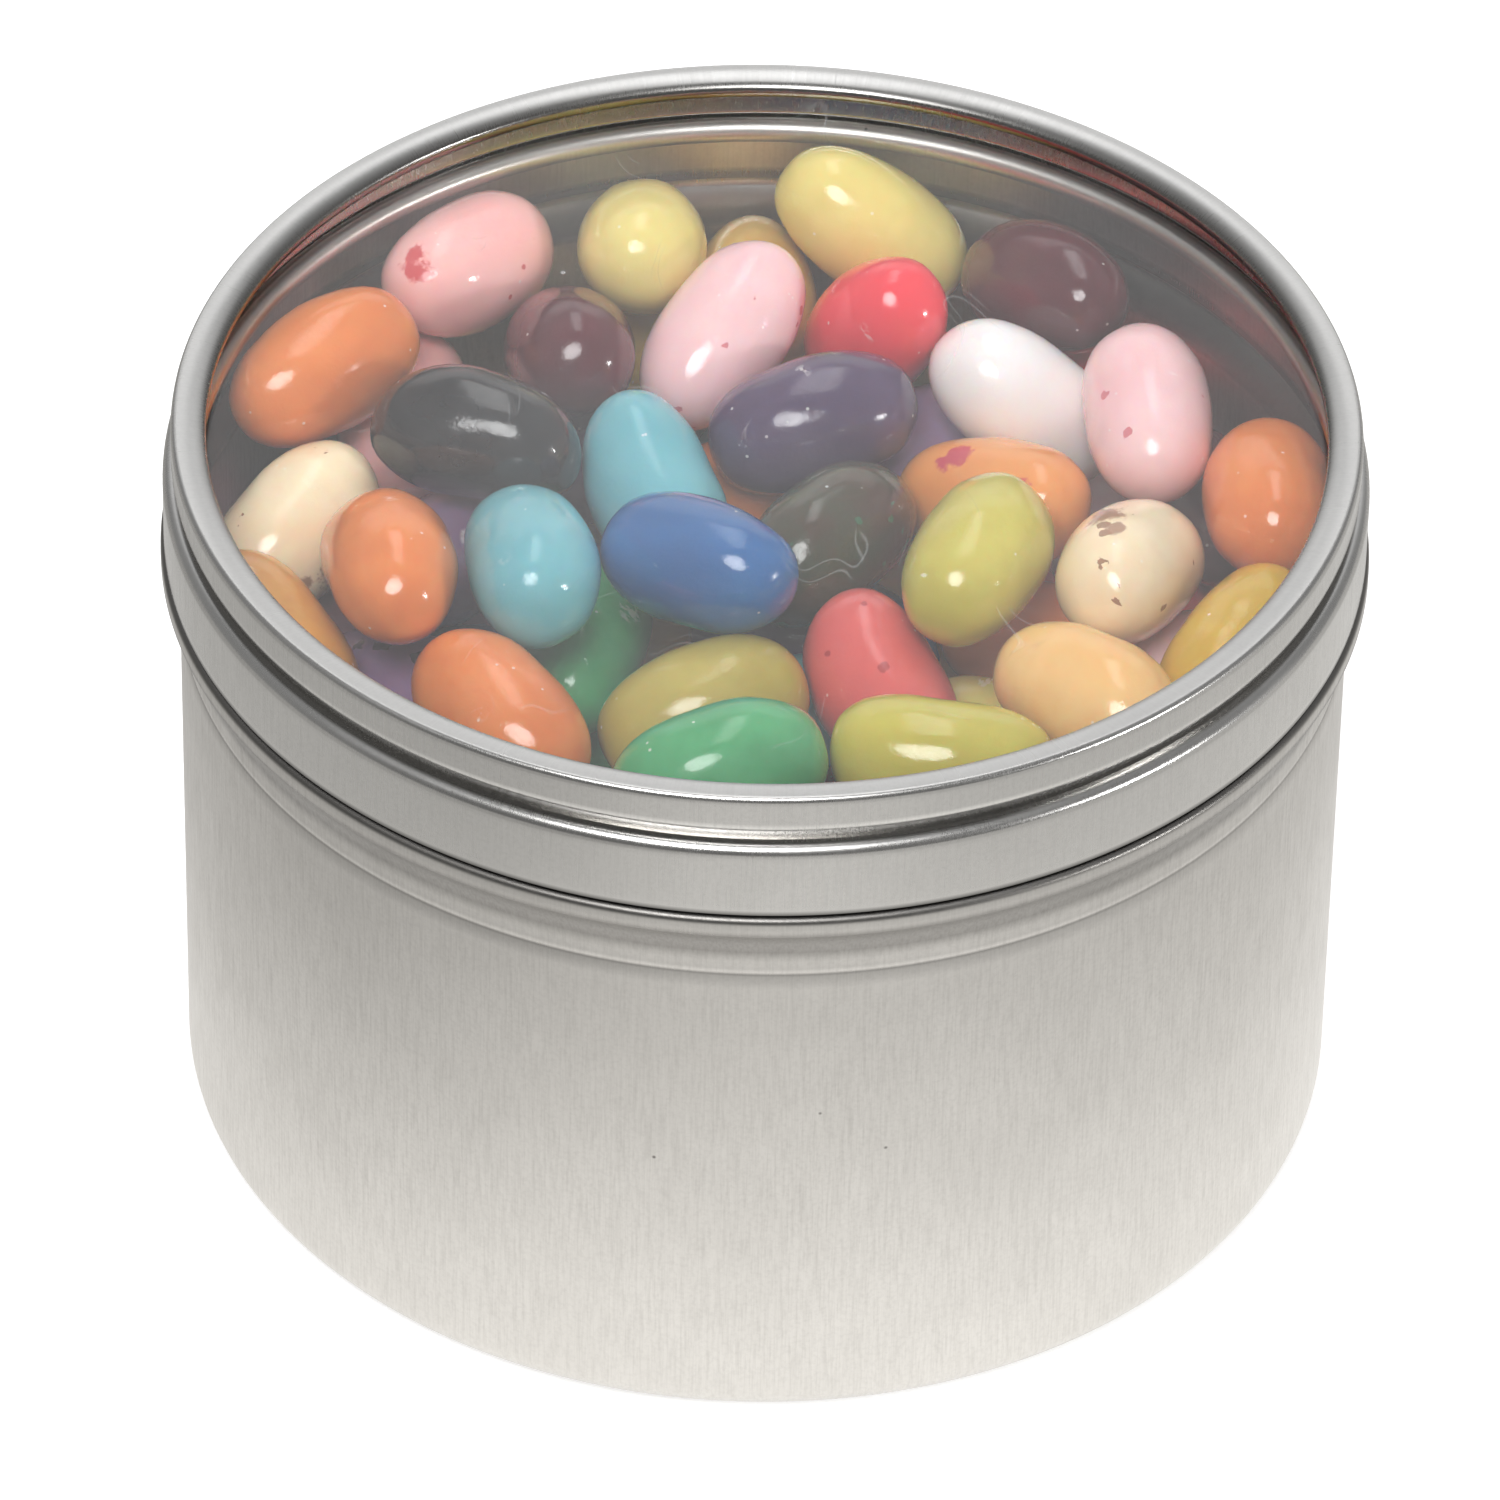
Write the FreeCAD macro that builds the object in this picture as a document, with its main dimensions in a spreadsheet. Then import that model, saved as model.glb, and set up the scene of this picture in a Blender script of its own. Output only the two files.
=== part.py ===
"""Round window lid tin, filled with sugar-shelled beans.

The drawn tin body, the lid ring and the clear window are turned about +Z.  The beans are one
barrel-shaped solid, laid in the tin from the base upwards so that each rests on those below it.
The origin is the centre of the base, +Z is up, and the photographed front faces -Y.  Lengths are in
millimetres.
"""
import FreeCAD, Part
import math
import os
import Sketcher

doc = FreeCAD.newDocument("window_lid_tin")
sizes = doc.addObject("Spreadsheet::Sheet", "sizes")

# Driving sizes
DRIVING_SIZES = (
    # Tin body
    ("tin_sheet", "0.3"),
    ("wall_radius", "43.1"),
    ("tin_height", "54.7"),
    ("base_corner", "2.4"),
    ("base_ring_width", "3.6"),
    ("panel_slope", "1.2"),
    ("panel_rise", "0.8"),
    ("neck_step", "0.4"),
    ("neck_length", "5.75"),
    ("bead_out", "1.35"),
    ("bead_width", "1.45"),
    ("bead_round", "0.6"),
    ("flare_rise", "3.9"),
    ("rim_roll", "0.95"),
    # Lid ring
    ("lid_sheet", "0.3"),
    ("lid_slip", "0.4"),
    ("lid_rest_gap", "0.3"),
    ("shoulder_round", "0.45"),
    ("waist_inset", "1.2"),
    ("crease_rise", "1.45"),
    ("crown_inset", "0.65"),
    ("crown_round", "0.6"),
    ("rim_width", "2.6"),
    ("lid_roll", "0.95"),
    # Window
    ("window_gauge", "0.5"),
    ("window_slip", "0.1"),
    ("window_play", "0.2"),
    # Beans
    ("bean_length", "16.4"),
    ("bean_width", "9.9"),
    ("bean_swell", "0.8"),
    ("bean_gap", "0.2"),
    ("head_space", "1.55"),
)

# Sizes that follow from the driving ones
FOLLOWING_SIZES = (
    ("neck_radius", "wall_radius + neck_step"),
    ("bead_radius", "wall_radius + bead_out"),
    ("bead_top", "tin_height - neck_length"),
    ("bead_edge_height", "bead_top - bead_width"),
    ("flare_height", "bead_edge_height - flare_rise"),
    ("wall_inside", "wall_radius - tin_sheet"),
    ("neck_inside", "neck_radius - tin_sheet"),
    ("bead_inside", "bead_radius - tin_sheet"),
    ("ring_outside", "wall_radius - base_corner"),
    ("ring_inside", "ring_outside - base_ring_width"),
    ("panel_radius", "ring_inside - panel_slope"),
    ("flare_radius", "(bead_out ^ 2 + flare_rise ^ 2) / (2 * bead_out)"),
    ("flare_centre", "wall_radius + flare_radius"),
    ("flare_inside_rise", "sqrt((flare_radius + tin_sheet) ^ 2 - (flare_centre - bead_inside) ^ 2)"),
    ("roll_centre", "neck_radius - rim_roll"),
    ("roll_height", "tin_height - rim_roll"),
    ("skirt_inside", "neck_radius + lid_slip"),
    ("skirt_radius", "skirt_inside + lid_sheet"),
    ("skirt_foot", "bead_top + lid_rest_gap"),
    ("shoulder_under", "tin_height + lid_rest_gap"),
    ("shoulder_height", "shoulder_under + lid_sheet"),
    ("waist_radius", "skirt_radius - waist_inset"),
    ("crease_height", "shoulder_height + crease_rise"),
    ("window_foot", "crease_height"),
    ("window_top", "window_foot + window_gauge"),
    ("lid_top", "window_top + window_play + 2 * lid_roll"),
    ("crown_radius", "skirt_radius - crown_inset"),
    ("crown_inside", "crown_radius - lid_sheet"),
    ("flank_run", "crown_radius - waist_radius"),
    ("flank_length", "sqrt(flank_run ^ 2 + crease_rise ^ 2)"),
    ("flank_back", "lid_sheet * crease_rise / flank_length"),
    ("flank_lift", "lid_sheet * flank_run / flank_length"),
    ("flank_reach", "flank_run + flank_back - lid_sheet"),
    ("flank_top", "shoulder_height + flank_lift + flank_reach * crease_rise / flank_run"),
    ("opening_roll_centre", "crown_radius - rim_width + lid_roll"),
    ("opening_roll_end", "lid_top - 2 * lid_roll"),
    ("window_radius", "crown_inside - window_slip"),
    ("bean_half_width", "bean_width / 2"),
    ("bean_end_radius", "bean_half_width - bean_swell"),
    ("bean_end_centre", "bean_length / 2 - bean_end_radius"),
    ("bean_barrel", "(bean_end_centre ^ 2 + bean_half_width ^ 2 - bean_end_radius ^ 2) / (2 * bean_swell)"),
    ("bean_cap_reach", "bean_end_radius * bean_end_centre / (bean_barrel - bean_end_radius)"),
    ("bean_cap_rise", "bean_end_radius * (bean_barrel - bean_half_width) / (bean_barrel - bean_end_radius)"),
    ("fill_floor", "panel_rise + tin_sheet"),
    ("bean_ceiling", "window_foot - head_space"),
)

# Beans of the upper layers by colour, with the place wished for each: across and away as shares of
# the tin's inside radius, height up to the rim as a share of the fill depth, heading and tilt in
# degrees.  The first table holds the beans that only peek out between the others
PEEKING_BEAN_SHARES = (
    ("coral", -0.72, -0.49, 0.57, -45, 5),
    ("lime", -0.58, 0.66, 0.62, 30, -15),
    ("pale_blue", 0.18, -0.44, 0.62, 20, 0),
    ("orange", 0.08, 0.78, 0.64, -5, 5),
    ("pale_yellow", 0.43, -0.20, 0.65, -15, -15),
    ("lilac", -0.78, 0.26, 0.65, -70, 0),
    ("violet", 0.06, 0.10, 0.66, -5, 0),
    ("orange", 0.49, 0.05, 0.68, -20, 5),
    ("violet", -0.36, 0.52, 0.68, 10, 5),
    ("olive", -0.26, 0.81, 0.68, 45, -5),
    ("maroon", 0.77, 0.43, 0.70, -65, 0),
    ("red", 0.50, 0.71, 0.71, -25, 15),
    ("speckled_purple", -0.60, -0.18, 0.71, -30, -5),
    ("orange", -0.07, 0.36, 0.72, 35, -10),
    ("green", -0.31, -0.06, 0.73, 80, 0),
    ("pale_pink", 0.71, -0.15, 0.74, 55, -5),
)

TOP_BEAN_SHARES = (
    ("pink", -0.62, 0.49, 0.77, 60, 5),
    ("coral", 0.21, -0.26, 0.80, -60, -20),
    ("lemon", -0.10, -0.34, 0.81, 20, 10),
    ("cream", -0.82, 0.09, 0.81, 50, 20),
    ("golden", -0.83, -0.23, 0.82, -65, -15),
    ("amber", -0.03, 0.80, 0.81, 90, 0),
    ("orange", -0.42, -0.42, 0.83, -50, -10),
    ("spotted_orange", 0.40, 0.20, 0.83, -35, 20),
    ("dark_green", 0.11, 0.05, 0.85, 40, 5),
    ("white", 0.43, 0.43, 0.84, -5, -40),
    ("lime", 0.30, -0.57, 0.87, -5, 10),
    ("olive", 0.81, -0.27, 0.87, 65, 5),
    ("pale_blue", -0.19, 0.16, 0.86, -65, -25),
    ("maroon", -0.35, 0.51, 0.88, -80, 30),
    ("violet", 0.09, 0.30, 0.88, 15, 10),
    ("red", 0.19, 0.60, 0.88, -60, 45),
    ("peach", 0.55, -0.42, 0.89, -45, 5),
    ("orange", -0.64, -0.14, 0.89, -80, 5),
    ("maroon", 0.49, 0.68, 0.91, -65, 20),
    ("orange", 0.87, 0.08, 0.91, -90, 10),
    ("cream", 0.65, -0.12, 0.90, 80, -10),
    ("pale_blue", -0.41, -0.12, 0.91, -80, 10),
    ("blue", -0.11, -0.14, 0.92, -35, 10),
    ("orange", -0.79, 0.37, 0.91, 55, 5),
    ("pink", -0.53, 0.70, 0.91, 40, -10),
    ("pale_pink", -0.08, 0.48, 0.91, 55, 15),
    ("pale_yellow", 0.19, 0.86, 0.92, -15, -10),
    ("pale_yellow", -0.24, 0.77, 0.92, -75, 5),
    ("lime", 0.41, -0.11, 0.92, 45, 0),
    ("green", -0.09, -0.66, 0.92, 5, 5),
    ("pale_pink", 0.66, 0.30, 0.92, -85, -5),
    ("black", -0.51, 0.22, 0.92, -5, 0),
)

# The depth of fill that the upper beans need grows with their number and bulk over the tin's area.
# The bed of lower beans, and the fillers between the peeking ones, end below the rim by shares of it
PACKING_SHARE = 0.77
BED_DROP_SHARE = 0.3967
FILLER_DROP_SHARE = 0.2505

# While a bean would stand above the window's underside, the tin is filled again with a deeper share
DEEPER_SHARE = 1.07
MOST_FILLS = 10

# How the lower beans are laid: spots tried on a spiral, headings tried at each, tilts tried in degrees
GOLDEN_ANGLE = 180 * (3 - math.sqrt(5))
BED_SPOTS = 60
BED_TURNS = (0, 45, 90, 135)
TILTS = (-32, -24, -16, -8, 0, 8, 16, 24, 32)

# How an upper bean finds room near its wished place: shifts as shares of the bean's width, in eight
# directions, with turns and leans in degrees, and what each departure from the wish costs
SHIFT_SHARES = (0, 0.1, 0.2, 0.35, 0.5, 0.7, 0.9)
DIRECTIONS = 8
EXTRA_TURNS = (0, -12, 12, -24, 24)
EXTRA_LEANS = (0, -10, 10, -20, 20)
TURN_COST_SHARE = 0.0042
LEAN_COST_SHARE = 0.005
RISE_COST = 3
SINK_COST = 0.7
CEILING_COST = 40

# Balls that stand for a bean, as shares of the way from its middle to its end centres
BALL_SHARES = (-1, -0.67, -0.33, 0, 0.33, 0.67, 1)
KEEP_PASSES = 7


def fill_sheet():
    """Write every size to the sheet: plain numbers first, then what follows from them."""
    row = 0
    for alias, text in DRIVING_SIZES:
        row += 1
        sizes.set("A%d" % row, alias)
        sizes.set("B%d" % row, text)
        sizes.setAlias("B%d" % row, alias)
    doc.recompute()
    for alias, formula in FOLLOWING_SIZES:
        row += 1
        sizes.set("A%d" % row, alias)
        sizes.set("B%d" % row, "=" + formula)
        sizes.setAlias("B%d" % row, alias)
        doc.recompute()


ALIASES = tuple(alias for alias, text in DRIVING_SIZES + FOLLOWING_SIZES)


def bound(text):
    """The sheet's own expression for a sum of size names."""
    words = text.replace("(", " ( ").replace(")", " ) ").split()
    return " ".join("sizes." + word if word in ALIASES else word for word in words)


def size(text):
    """The value, in millimetres, of a sum of size names."""
    return float(sizes.evalExpression(bound(text)))


def hold(sketch, geometry, end, across, up, name):
    """Hold one point of a sketch at a place given by the sheet."""
    if across == "0":
        sketch.addConstraint(Sketcher.Constraint("PointOnObject", geometry, end, -2))
    else:
        rule = Sketcher.Constraint("DistanceX", -1, 1, geometry, end, size(across))
        sketch.renameConstraint(sketch.addConstraint(rule), name + "_across")
        sketch.setExpression("Constraints." + name + "_across", bound(across))
    if up is None:
        return
    if up == "0":
        sketch.addConstraint(Sketcher.Constraint("PointOnObject", geometry, end, -1))
    else:
        rule = Sketcher.Constraint("DistanceY", -1, 1, geometry, end, size(up))
        sketch.renameConstraint(sketch.addConstraint(rule), name + "_up")
        sketch.setExpression("Constraints." + name + "_up", bound(up))


def arc_between(start, end, centre, anticlockwise):
    """The arc about a centre from one point to another, on the side that its turn gives."""
    first = math.atan2(start.y - centre.y, start.x - centre.x)
    last = math.atan2(end.y - centre.y, end.x - centre.x)
    if not anticlockwise:
        first, last = last, first
    if last <= first:
        last += 2 * math.pi
    circle = Part.Circle(centre, FreeCAD.Vector(0, 0, 1), start.distanceToPoint(centre))
    return Part.ArcOfCircle(circle, first, last)


def draw_outline(sketch, steps):
    """Draw a closed outline of lines and arcs, each point held by the sheet.

    A step is the point where a stretch ends, and for an arc also its centre and its turn, 1 for
    anticlockwise and -1 for clockwise.  The last step ends at the first one's start.
    """
    points = [FreeCAD.Vector(size(step[0]), size(step[1]), 0) for step in steps]
    ends = []
    for number, step in enumerate(steps):
        start = points[number - 1]
        end = points[number]
        if len(step) == 2:
            geometry = sketch.addGeometry(Part.LineSegment(start, end))
            ends.append((geometry, 1, 2))
        else:
            centre = FreeCAD.Vector(size(step[2]), size(step[3]), 0)
            geometry = sketch.addGeometry(arc_between(start, end, centre, step[4] > 0))
            ends.append((geometry, 1, 2) if step[4] > 0 else (geometry, 2, 1))
    for number, step in enumerate(steps):
        geometry, first, last = ends[number]
        following = ends[(number + 1) % len(steps)]
        sketch.addConstraint(Sketcher.Constraint("Coincident", geometry, last, following[0], following[1]))
        hold(sketch, geometry, last, step[0], step[1], "point_%d" % number)
        if len(step) > 2:
            hold(sketch, geometry, 3, step[2], None, "centre_%d" % number)


def turned_body(label, steps):
    """A body turned about +Z from an outline in the plane of radius and height."""
    body = doc.addObject("PartDesign::Body", label)
    body.Label = label
    sketch = body.newObject("Sketcher::SketchObject", label + "_outline")
    plane = [feature for feature in body.Origin.OriginFeatures if feature.Role == "XZ_Plane"][0]
    sketch.AttachmentSupport = (plane, [""])
    sketch.MapMode = "FlatFace"
    draw_outline(sketch, steps)
    turned = body.newObject("PartDesign::Revolution", label + "_turned")
    turned.Profile = sketch
    turned.ReferenceAxis = (sketch, ["V_Axis"])
    turned.Angle = 360
    body.Tip = turned
    doc.recompute()
    return body


def make_tin_body():
    """The drawn cup: base panel, wall, swaged bead, neck and inward-rolled rim."""
    return turned_body("tin_body", (
        ("0", "panel_rise"),
        ("panel_radius", "panel_rise"),
        ("ring_inside", "0"),
        ("ring_outside", "0"),
        ("wall_radius", "base_corner", "ring_outside", "base_corner", 1),
        ("wall_radius", "flare_height"),
        ("bead_radius", "bead_edge_height", "flare_centre", "flare_height", -1),
        ("bead_radius", "bead_top - bead_round"),
        ("bead_radius - bead_round", "bead_top", "bead_radius - bead_round", "bead_top - bead_round", 1),
        ("neck_radius", "bead_top"),
        ("neck_radius", "roll_height"),
        ("roll_centre", "roll_height - rim_roll", "roll_centre", "roll_height", 1),
        ("roll_centre", "roll_height - rim_roll + tin_sheet"),
        ("neck_inside", "roll_height", "roll_centre", "roll_height", -1),
        ("neck_inside", "bead_top - tin_sheet"),
        ("bead_radius - bead_round", "bead_top - tin_sheet"),
        ("bead_inside", "bead_top - bead_round", "bead_radius - bead_round", "bead_top - bead_round", -1),
        ("bead_inside", "flare_height + flare_inside_rise"),
        ("wall_inside", "flare_height", "flare_centre", "flare_height", 1),
        ("wall_inside", "base_corner"),
        ("ring_outside", "tin_sheet", "ring_outside", "base_corner", -1),
        ("ring_inside", "tin_sheet"),
        ("panel_radius", "panel_rise + tin_sheet"),
        ("0", "panel_rise + tin_sheet"),
    ))


def make_lid_ring():
    """The lid: skirt, shoulder, pinched waist, crown band and the rim rolled round the opening."""
    return turned_body("lid_ring", (
        ("skirt_radius", "skirt_foot"),
        ("skirt_radius", "shoulder_height - shoulder_round"),
        ("skirt_radius - shoulder_round", "shoulder_height",
         "skirt_radius - shoulder_round", "shoulder_height - shoulder_round", 1),
        ("waist_radius", "shoulder_height"),
        ("crown_radius", "crease_height"),
        ("crown_radius", "lid_top - crown_round"),
        ("crown_radius - crown_round", "lid_top", "crown_radius - crown_round", "lid_top - crown_round", 1),
        ("opening_roll_centre", "lid_top"),
        ("opening_roll_centre", "opening_roll_end", "opening_roll_centre", "lid_top - lid_roll", 1),
        ("opening_roll_centre", "opening_roll_end + lid_sheet"),
        ("opening_roll_centre", "lid_top - lid_sheet", "opening_roll_centre", "lid_top - lid_roll", -1),
        ("crown_radius - crown_round", "lid_top - lid_sheet"),
        ("crown_inside", "lid_top - crown_round", "crown_radius - crown_round", "lid_top - crown_round", -1),
        ("crown_inside", "flank_top"),
        ("waist_radius - flank_back", "shoulder_height + flank_lift"),
        ("waist_radius", "shoulder_under", "waist_radius", "shoulder_height", 1),
        ("skirt_radius - shoulder_round", "shoulder_under"),
        ("skirt_inside", "shoulder_height - shoulder_round",
         "skirt_radius - shoulder_round", "shoulder_height - shoulder_round", -1),
        ("skirt_inside", "skirt_foot"),
    ))


def make_lid_window():
    """The clear disc that lies in the crown, above the pinched waist."""
    return turned_body("lid_window", (
        ("0", "window_foot"),
        ("window_radius", "window_foot"),
        ("window_radius", "window_top"),
        ("0", "window_top"),
    ))


def make_bean():
    """One bean standing on end about the origin: a barrel with rounded ends."""
    return turned_body("bean", (
        ("0", "0 - bean_length / 2"),
        ("bean_cap_rise", "0 - bean_end_centre - bean_cap_reach", "0", "0 - bean_end_centre", 1),
        ("bean_cap_rise", "bean_end_centre + bean_cap_reach", "bean_half_width - bean_barrel", "0", 1),
        ("0", "bean_length / 2", "0", "bean_end_centre", 1),
    ))


class Fill:
    """Beans laid in the tin one after another, each on those below it.

    A bean is followed by balls along its axis.  It comes to rest where one of its balls first
    meets the floor or a ball of an earlier bean, with the bean gap between them.
    """

    def __init__(self, depth_share):
        self.inside = size("wall_inside")
        self.gap = size("bean_gap")
        self.floor = size("fill_floor")
        self.reach = size("bean_length") + self.gap
        self.roll_inside = size("roll_centre - rim_roll")
        self.roll_centre = size("roll_centre")
        self.roll_height = size("roll_height")
        self.rim_roll = size("rim_roll")
        self.width = size("bean_width")
        self.tin_height = size("tin_height")
        upper_count = len(PEEKING_BEAN_SHARES + TOP_BEAN_SHARES)
        bulk = self.width ** 2 * size("bean_length")
        self.depth = depth_share * upper_count * bulk / (PACKING_SHARE * self.inside ** 2)
        self.ceiling = size("bean_ceiling")
        self.window = size("window_foot - bean_gap")
        barrel = size("bean_barrel")
        end_centre = size("bean_end_centre")
        hollow = size("bean_barrel - bean_half_width")
        offsets = [share * end_centre for share in BALL_SHARES]
        self.balls = [(offset, barrel - math.hypot(offset, hollow)) for offset in offsets]
        self.beans = []

    def shaped(self, heading, tilt):
        """The bean's balls about its own centre, for a heading and a tilt in degrees."""
        turn = math.radians(heading)
        lean = math.radians(tilt)
        along = (math.cos(lean) * math.cos(turn), math.cos(lean) * math.sin(turn), math.sin(lean))
        return [(along[0] * far, along[1] * far, along[2] * far, radius) for far, radius in self.balls]

    def kept_inside(self, x, y, balls, limit):
        """The place nearest to x, y where every ball stays within a radius of the tin's axis."""
        for keep_pass in range(KEEP_PASSES):
            for across, away, up, radius in balls:
                out = math.hypot(x + across, y + away)
                over = out + radius + self.gap - limit
                if over > 0:
                    x -= over * (x + across) / out
                    y -= over * (y + away) / out
        return x, y

    def spans(self, x, y, balls, others):
        """The spans of height in which a bean at x, y would run into one earlier bean."""
        found = []
        for across, away, up, radius in balls:
            ball_x = x + across
            ball_y = y + away
            for other_x, other_y, other_z, other_radius in others:
                reach = radius + other_radius + self.gap
                rise = reach * reach - (ball_x - other_x) ** 2 - (ball_y - other_y) ** 2
                if rise > 0:
                    half = math.sqrt(rise)
                    found.append((other_z - half - up, other_z + half - up))
        return found

    def rest_height(self, x, y, balls):
        """The height at which a bean dropped at x, y from above the tin comes to rest."""
        depth = max(radius - up for across, away, up, radius in balls)
        height = self.floor + self.gap + depth
        for top, bean_x, bean_y, others in self.beans:
            if top + self.gap + depth <= height:
                break
            if math.hypot(x - bean_x, y - bean_y) > self.reach:
                continue
            for low, high in self.spans(x, y, balls, others):
                height = max(height, high)
        return height

    def rest_below(self, x, y, balls, let_go):
        """The height at which a bean let go among the others, at x, y and a height, comes to rest."""
        depth = max(radius - up for across, away, up, radius in balls)
        floor = self.floor + self.gap + depth
        taken = []
        for top, bean_x, bean_y, others in self.beans:
            if math.hypot(x - bean_x, y - bean_y) <= self.reach:
                taken.extend(self.spans(x, y, balls, others))
        level = max(let_go, floor)
        for low, high in sorted(taken):
            if low < level < high:
                level = high
        return max([floor] + [high for low, high in taken if high <= level])

    def meets_roll(self, x, y, z, balls):
        """Whether a bean at rest would touch the tin's rolled rim."""
        for across, away, up, radius in balls:
            out = math.hypot(x + across, y + away) - self.roll_centre
            if math.hypot(out, z + up - self.roll_height) < radius + self.rim_roll + self.gap:
                return True
        return False

    def lowest_rest(self, x, y, heading, limit):
        """The lowest way that a bean dropped near x, y comes to rest, among the tilts."""
        found = []
        for tilt in TILTS:
            balls = self.shaped(heading, tilt)
            spot = self.kept_inside(x, y, balls, limit)
            found.append((self.rest_height(spot[0], spot[1], balls), abs(tilt), tilt, spot))
        height, lean, tilt, spot = min(found)
        return spot[0], spot[1], height, heading, tilt

    def open_spot(self, turn):
        """The lowest spot on the spiral at which a level bean dropped from above comes to rest."""
        found = []
        for spot in range(BED_SPOTS):
            out = (self.inside - self.balls[0][1]) * math.sqrt((spot + 0.5) / BED_SPOTS)
            angle = math.radians(GOLDEN_ANGLE * (spot + turn))
            for extra in BED_TURNS:
                heading = GOLDEN_ANGLE * turn + extra
                balls = self.shaped(heading, 0)
                x, y = self.kept_inside(out * math.cos(angle), out * math.sin(angle), balls, self.inside)
                found.append((self.rest_height(x, y, balls), spot, extra, x, y, heading))
        height, spot, extra, x, y, heading = min(found)
        return height, x, y, heading

    def dropped(self, x, y, heading):
        """How a bean dropped near x, y comes to rest, clear of the tin's rolled rim."""
        rest = self.lowest_rest(x, y, heading, self.inside)
        if self.meets_roll(rest[0], rest[1], rest[2], self.shaped(heading, rest[4])):
            rest = self.lowest_rest(x, y, heading, self.roll_inside)
        return rest

    def nearest(self, x, y, wish, heading, tilt):
        """The resting place that departs least from the one wished for."""
        best = None
        for ring, shift_share in enumerate(SHIFT_SHARES):
            for step in range(DIRECTIONS if shift_share else 1):
                if best and shift_share >= best[0]:
                    break
                angle = 2 * math.pi * (step + ring % 2 / 2) / DIRECTIONS
                shift = shift_share * self.width
                for turn in EXTRA_TURNS:
                    for lean in EXTRA_LEANS:
                        balls = self.shaped(heading + turn, tilt + lean)
                        spot = self.kept_inside(
                            x + shift * math.cos(angle), y + shift * math.sin(angle), balls, self.inside)
                        cost = math.hypot(spot[0] - x, spot[1] - y) / self.width
                        cost += abs(turn) * TURN_COST_SHARE + abs(lean) * LEAN_COST_SHARE
                        if best and cost >= best[0]:
                            continue
                        height = self.rest_below(spot[0], spot[1], balls, wish)
                        if self.meets_roll(spot[0], spot[1], height, balls):
                            continue
                        top = height + max(up + radius for across, away, up, radius in balls)
                        cost += max(height - wish, 0) / self.width * RISE_COST
                        cost += max(wish - height, 0) / self.width * SINK_COST
                        cost += max(top - self.ceiling, 0) / self.width * CEILING_COST
                        if best is None or cost < best[0]:
                            best = (cost, top, (spot[0], spot[1], height, heading + turn, tilt + lean))
        return best

    def lay(self, rest):
        """Take in one bean at its resting place and return its placement."""
        x, y, height, heading, tilt = rest
        balls = self.shaped(heading, tilt)
        placed = [(x + across, y + away, height + up, radius) for across, away, up, radius in balls]
        top = max(ball_z + radius for ball_x, ball_y, ball_z, radius in placed)
        self.beans.append((top, x, y, placed))
        self.beans.sort(key=lambda bean: -bean[0])
        turn = FreeCAD.Rotation(FreeCAD.Vector(0, 0, 1), heading)
        lean = FreeCAD.Rotation(FreeCAD.Vector(0, 1, 0), 90 - tilt)
        return FreeCAD.Placement(FreeCAD.Vector(x, y, height), turn.multiply(lean))

    def lay_bed(self, drop_share):
        """Lay beans at the lowest open spots until none is left that far below the rim."""
        level = self.tin_height - drop_share * self.depth
        placements = []
        while True:
            height, x, y, heading = self.open_spot(len(placements))
            if height > level:
                return placements
            placements.append(self.lay(self.dropped(x, y, heading)))

    def lay_wished(self, row):
        """Lay one bean near the place that its row asks for, or at an open spot if it has no room."""
        colour, across_share, away_share, height_share, heading, tilt = row
        wish = self.tin_height - (1 - height_share) * self.depth
        best = self.nearest(across_share * self.inside, away_share * self.inside, wish, heading, tilt)
        if best and best[1] < self.window:
            return self.lay(best[2])
        height, x, y, heading = self.open_spot(0)
        return self.lay(self.dropped(x, y, heading))


def bean_group(label, bean, placements):
    """A node of separate beans, one at each placement."""
    group = doc.addObject("Part::Feature", label)
    group.Label = label
    copies = []
    for placement in placements:
        copy = bean.Shape.copy()
        copy.Placement = placement
        copies.append(copy)
    group.Shape = Part.makeCompound(copies)
    return group


def lay_beans(fill):
    """The placements by node: the bed of lower beans, then the beans of the upper layers by colour."""
    laid = {"bean_bed": fill.lay_bed(BED_DROP_SHARE)}
    for row in PEEKING_BEAN_SHARES:
        laid.setdefault(row[0] + "_beans", []).append(fill.lay_wished(row))
    laid["bean_bed"] += fill.lay_bed(FILLER_DROP_SHARE)
    for row in TOP_BEAN_SHARES:
        laid.setdefault(row[0] + "_beans", []).append(fill.lay_wished(row))
    return laid


def make_beans():
    """All the beans, laid so that none stands above the window's underside."""
    bean = make_bean()
    for deeper in range(MOST_FILLS):
        fill = Fill(DEEPER_SHARE ** deeper)
        laid = lay_beans(fill)
        highest = fill.beans[0][0]
        print("beans laid:", len(fill.beans), "highest top:", round(highest, 2))
        if highest < fill.window:
            break
    return [bean_group(label, bean, placements) for label, placements in laid.items()]


def check(pieces):
    """Stop if anything failed to build or a piece is not a valid closed shape."""
    for item in doc.Objects:
        if "Invalid" in item.State or "Error" in item.State:
            raise RuntimeError("failed to build: " + item.Label)
    for piece in pieces:
        if piece.Shape.isNull() or not piece.Shape.isValid():
            raise RuntimeError("not a valid shape: " + piece.Label)


def main():
    fill_sheet()
    pieces = [make_tin_body(), make_lid_ring(), make_lid_window()] + make_beans()
    doc.recompute()
    check(pieces)
    os.makedirs("parts", exist_ok=True)
    for piece in pieces:
        piece.Shape.exportStep("parts/%s.step" % piece.Label)


main()
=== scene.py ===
"""Looks of the window lid tin and its sugar-shelled beans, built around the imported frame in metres."""
import math
import random

import bmesh
import bpy
import numpy as np
from mathutils import Matrix, Vector


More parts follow.
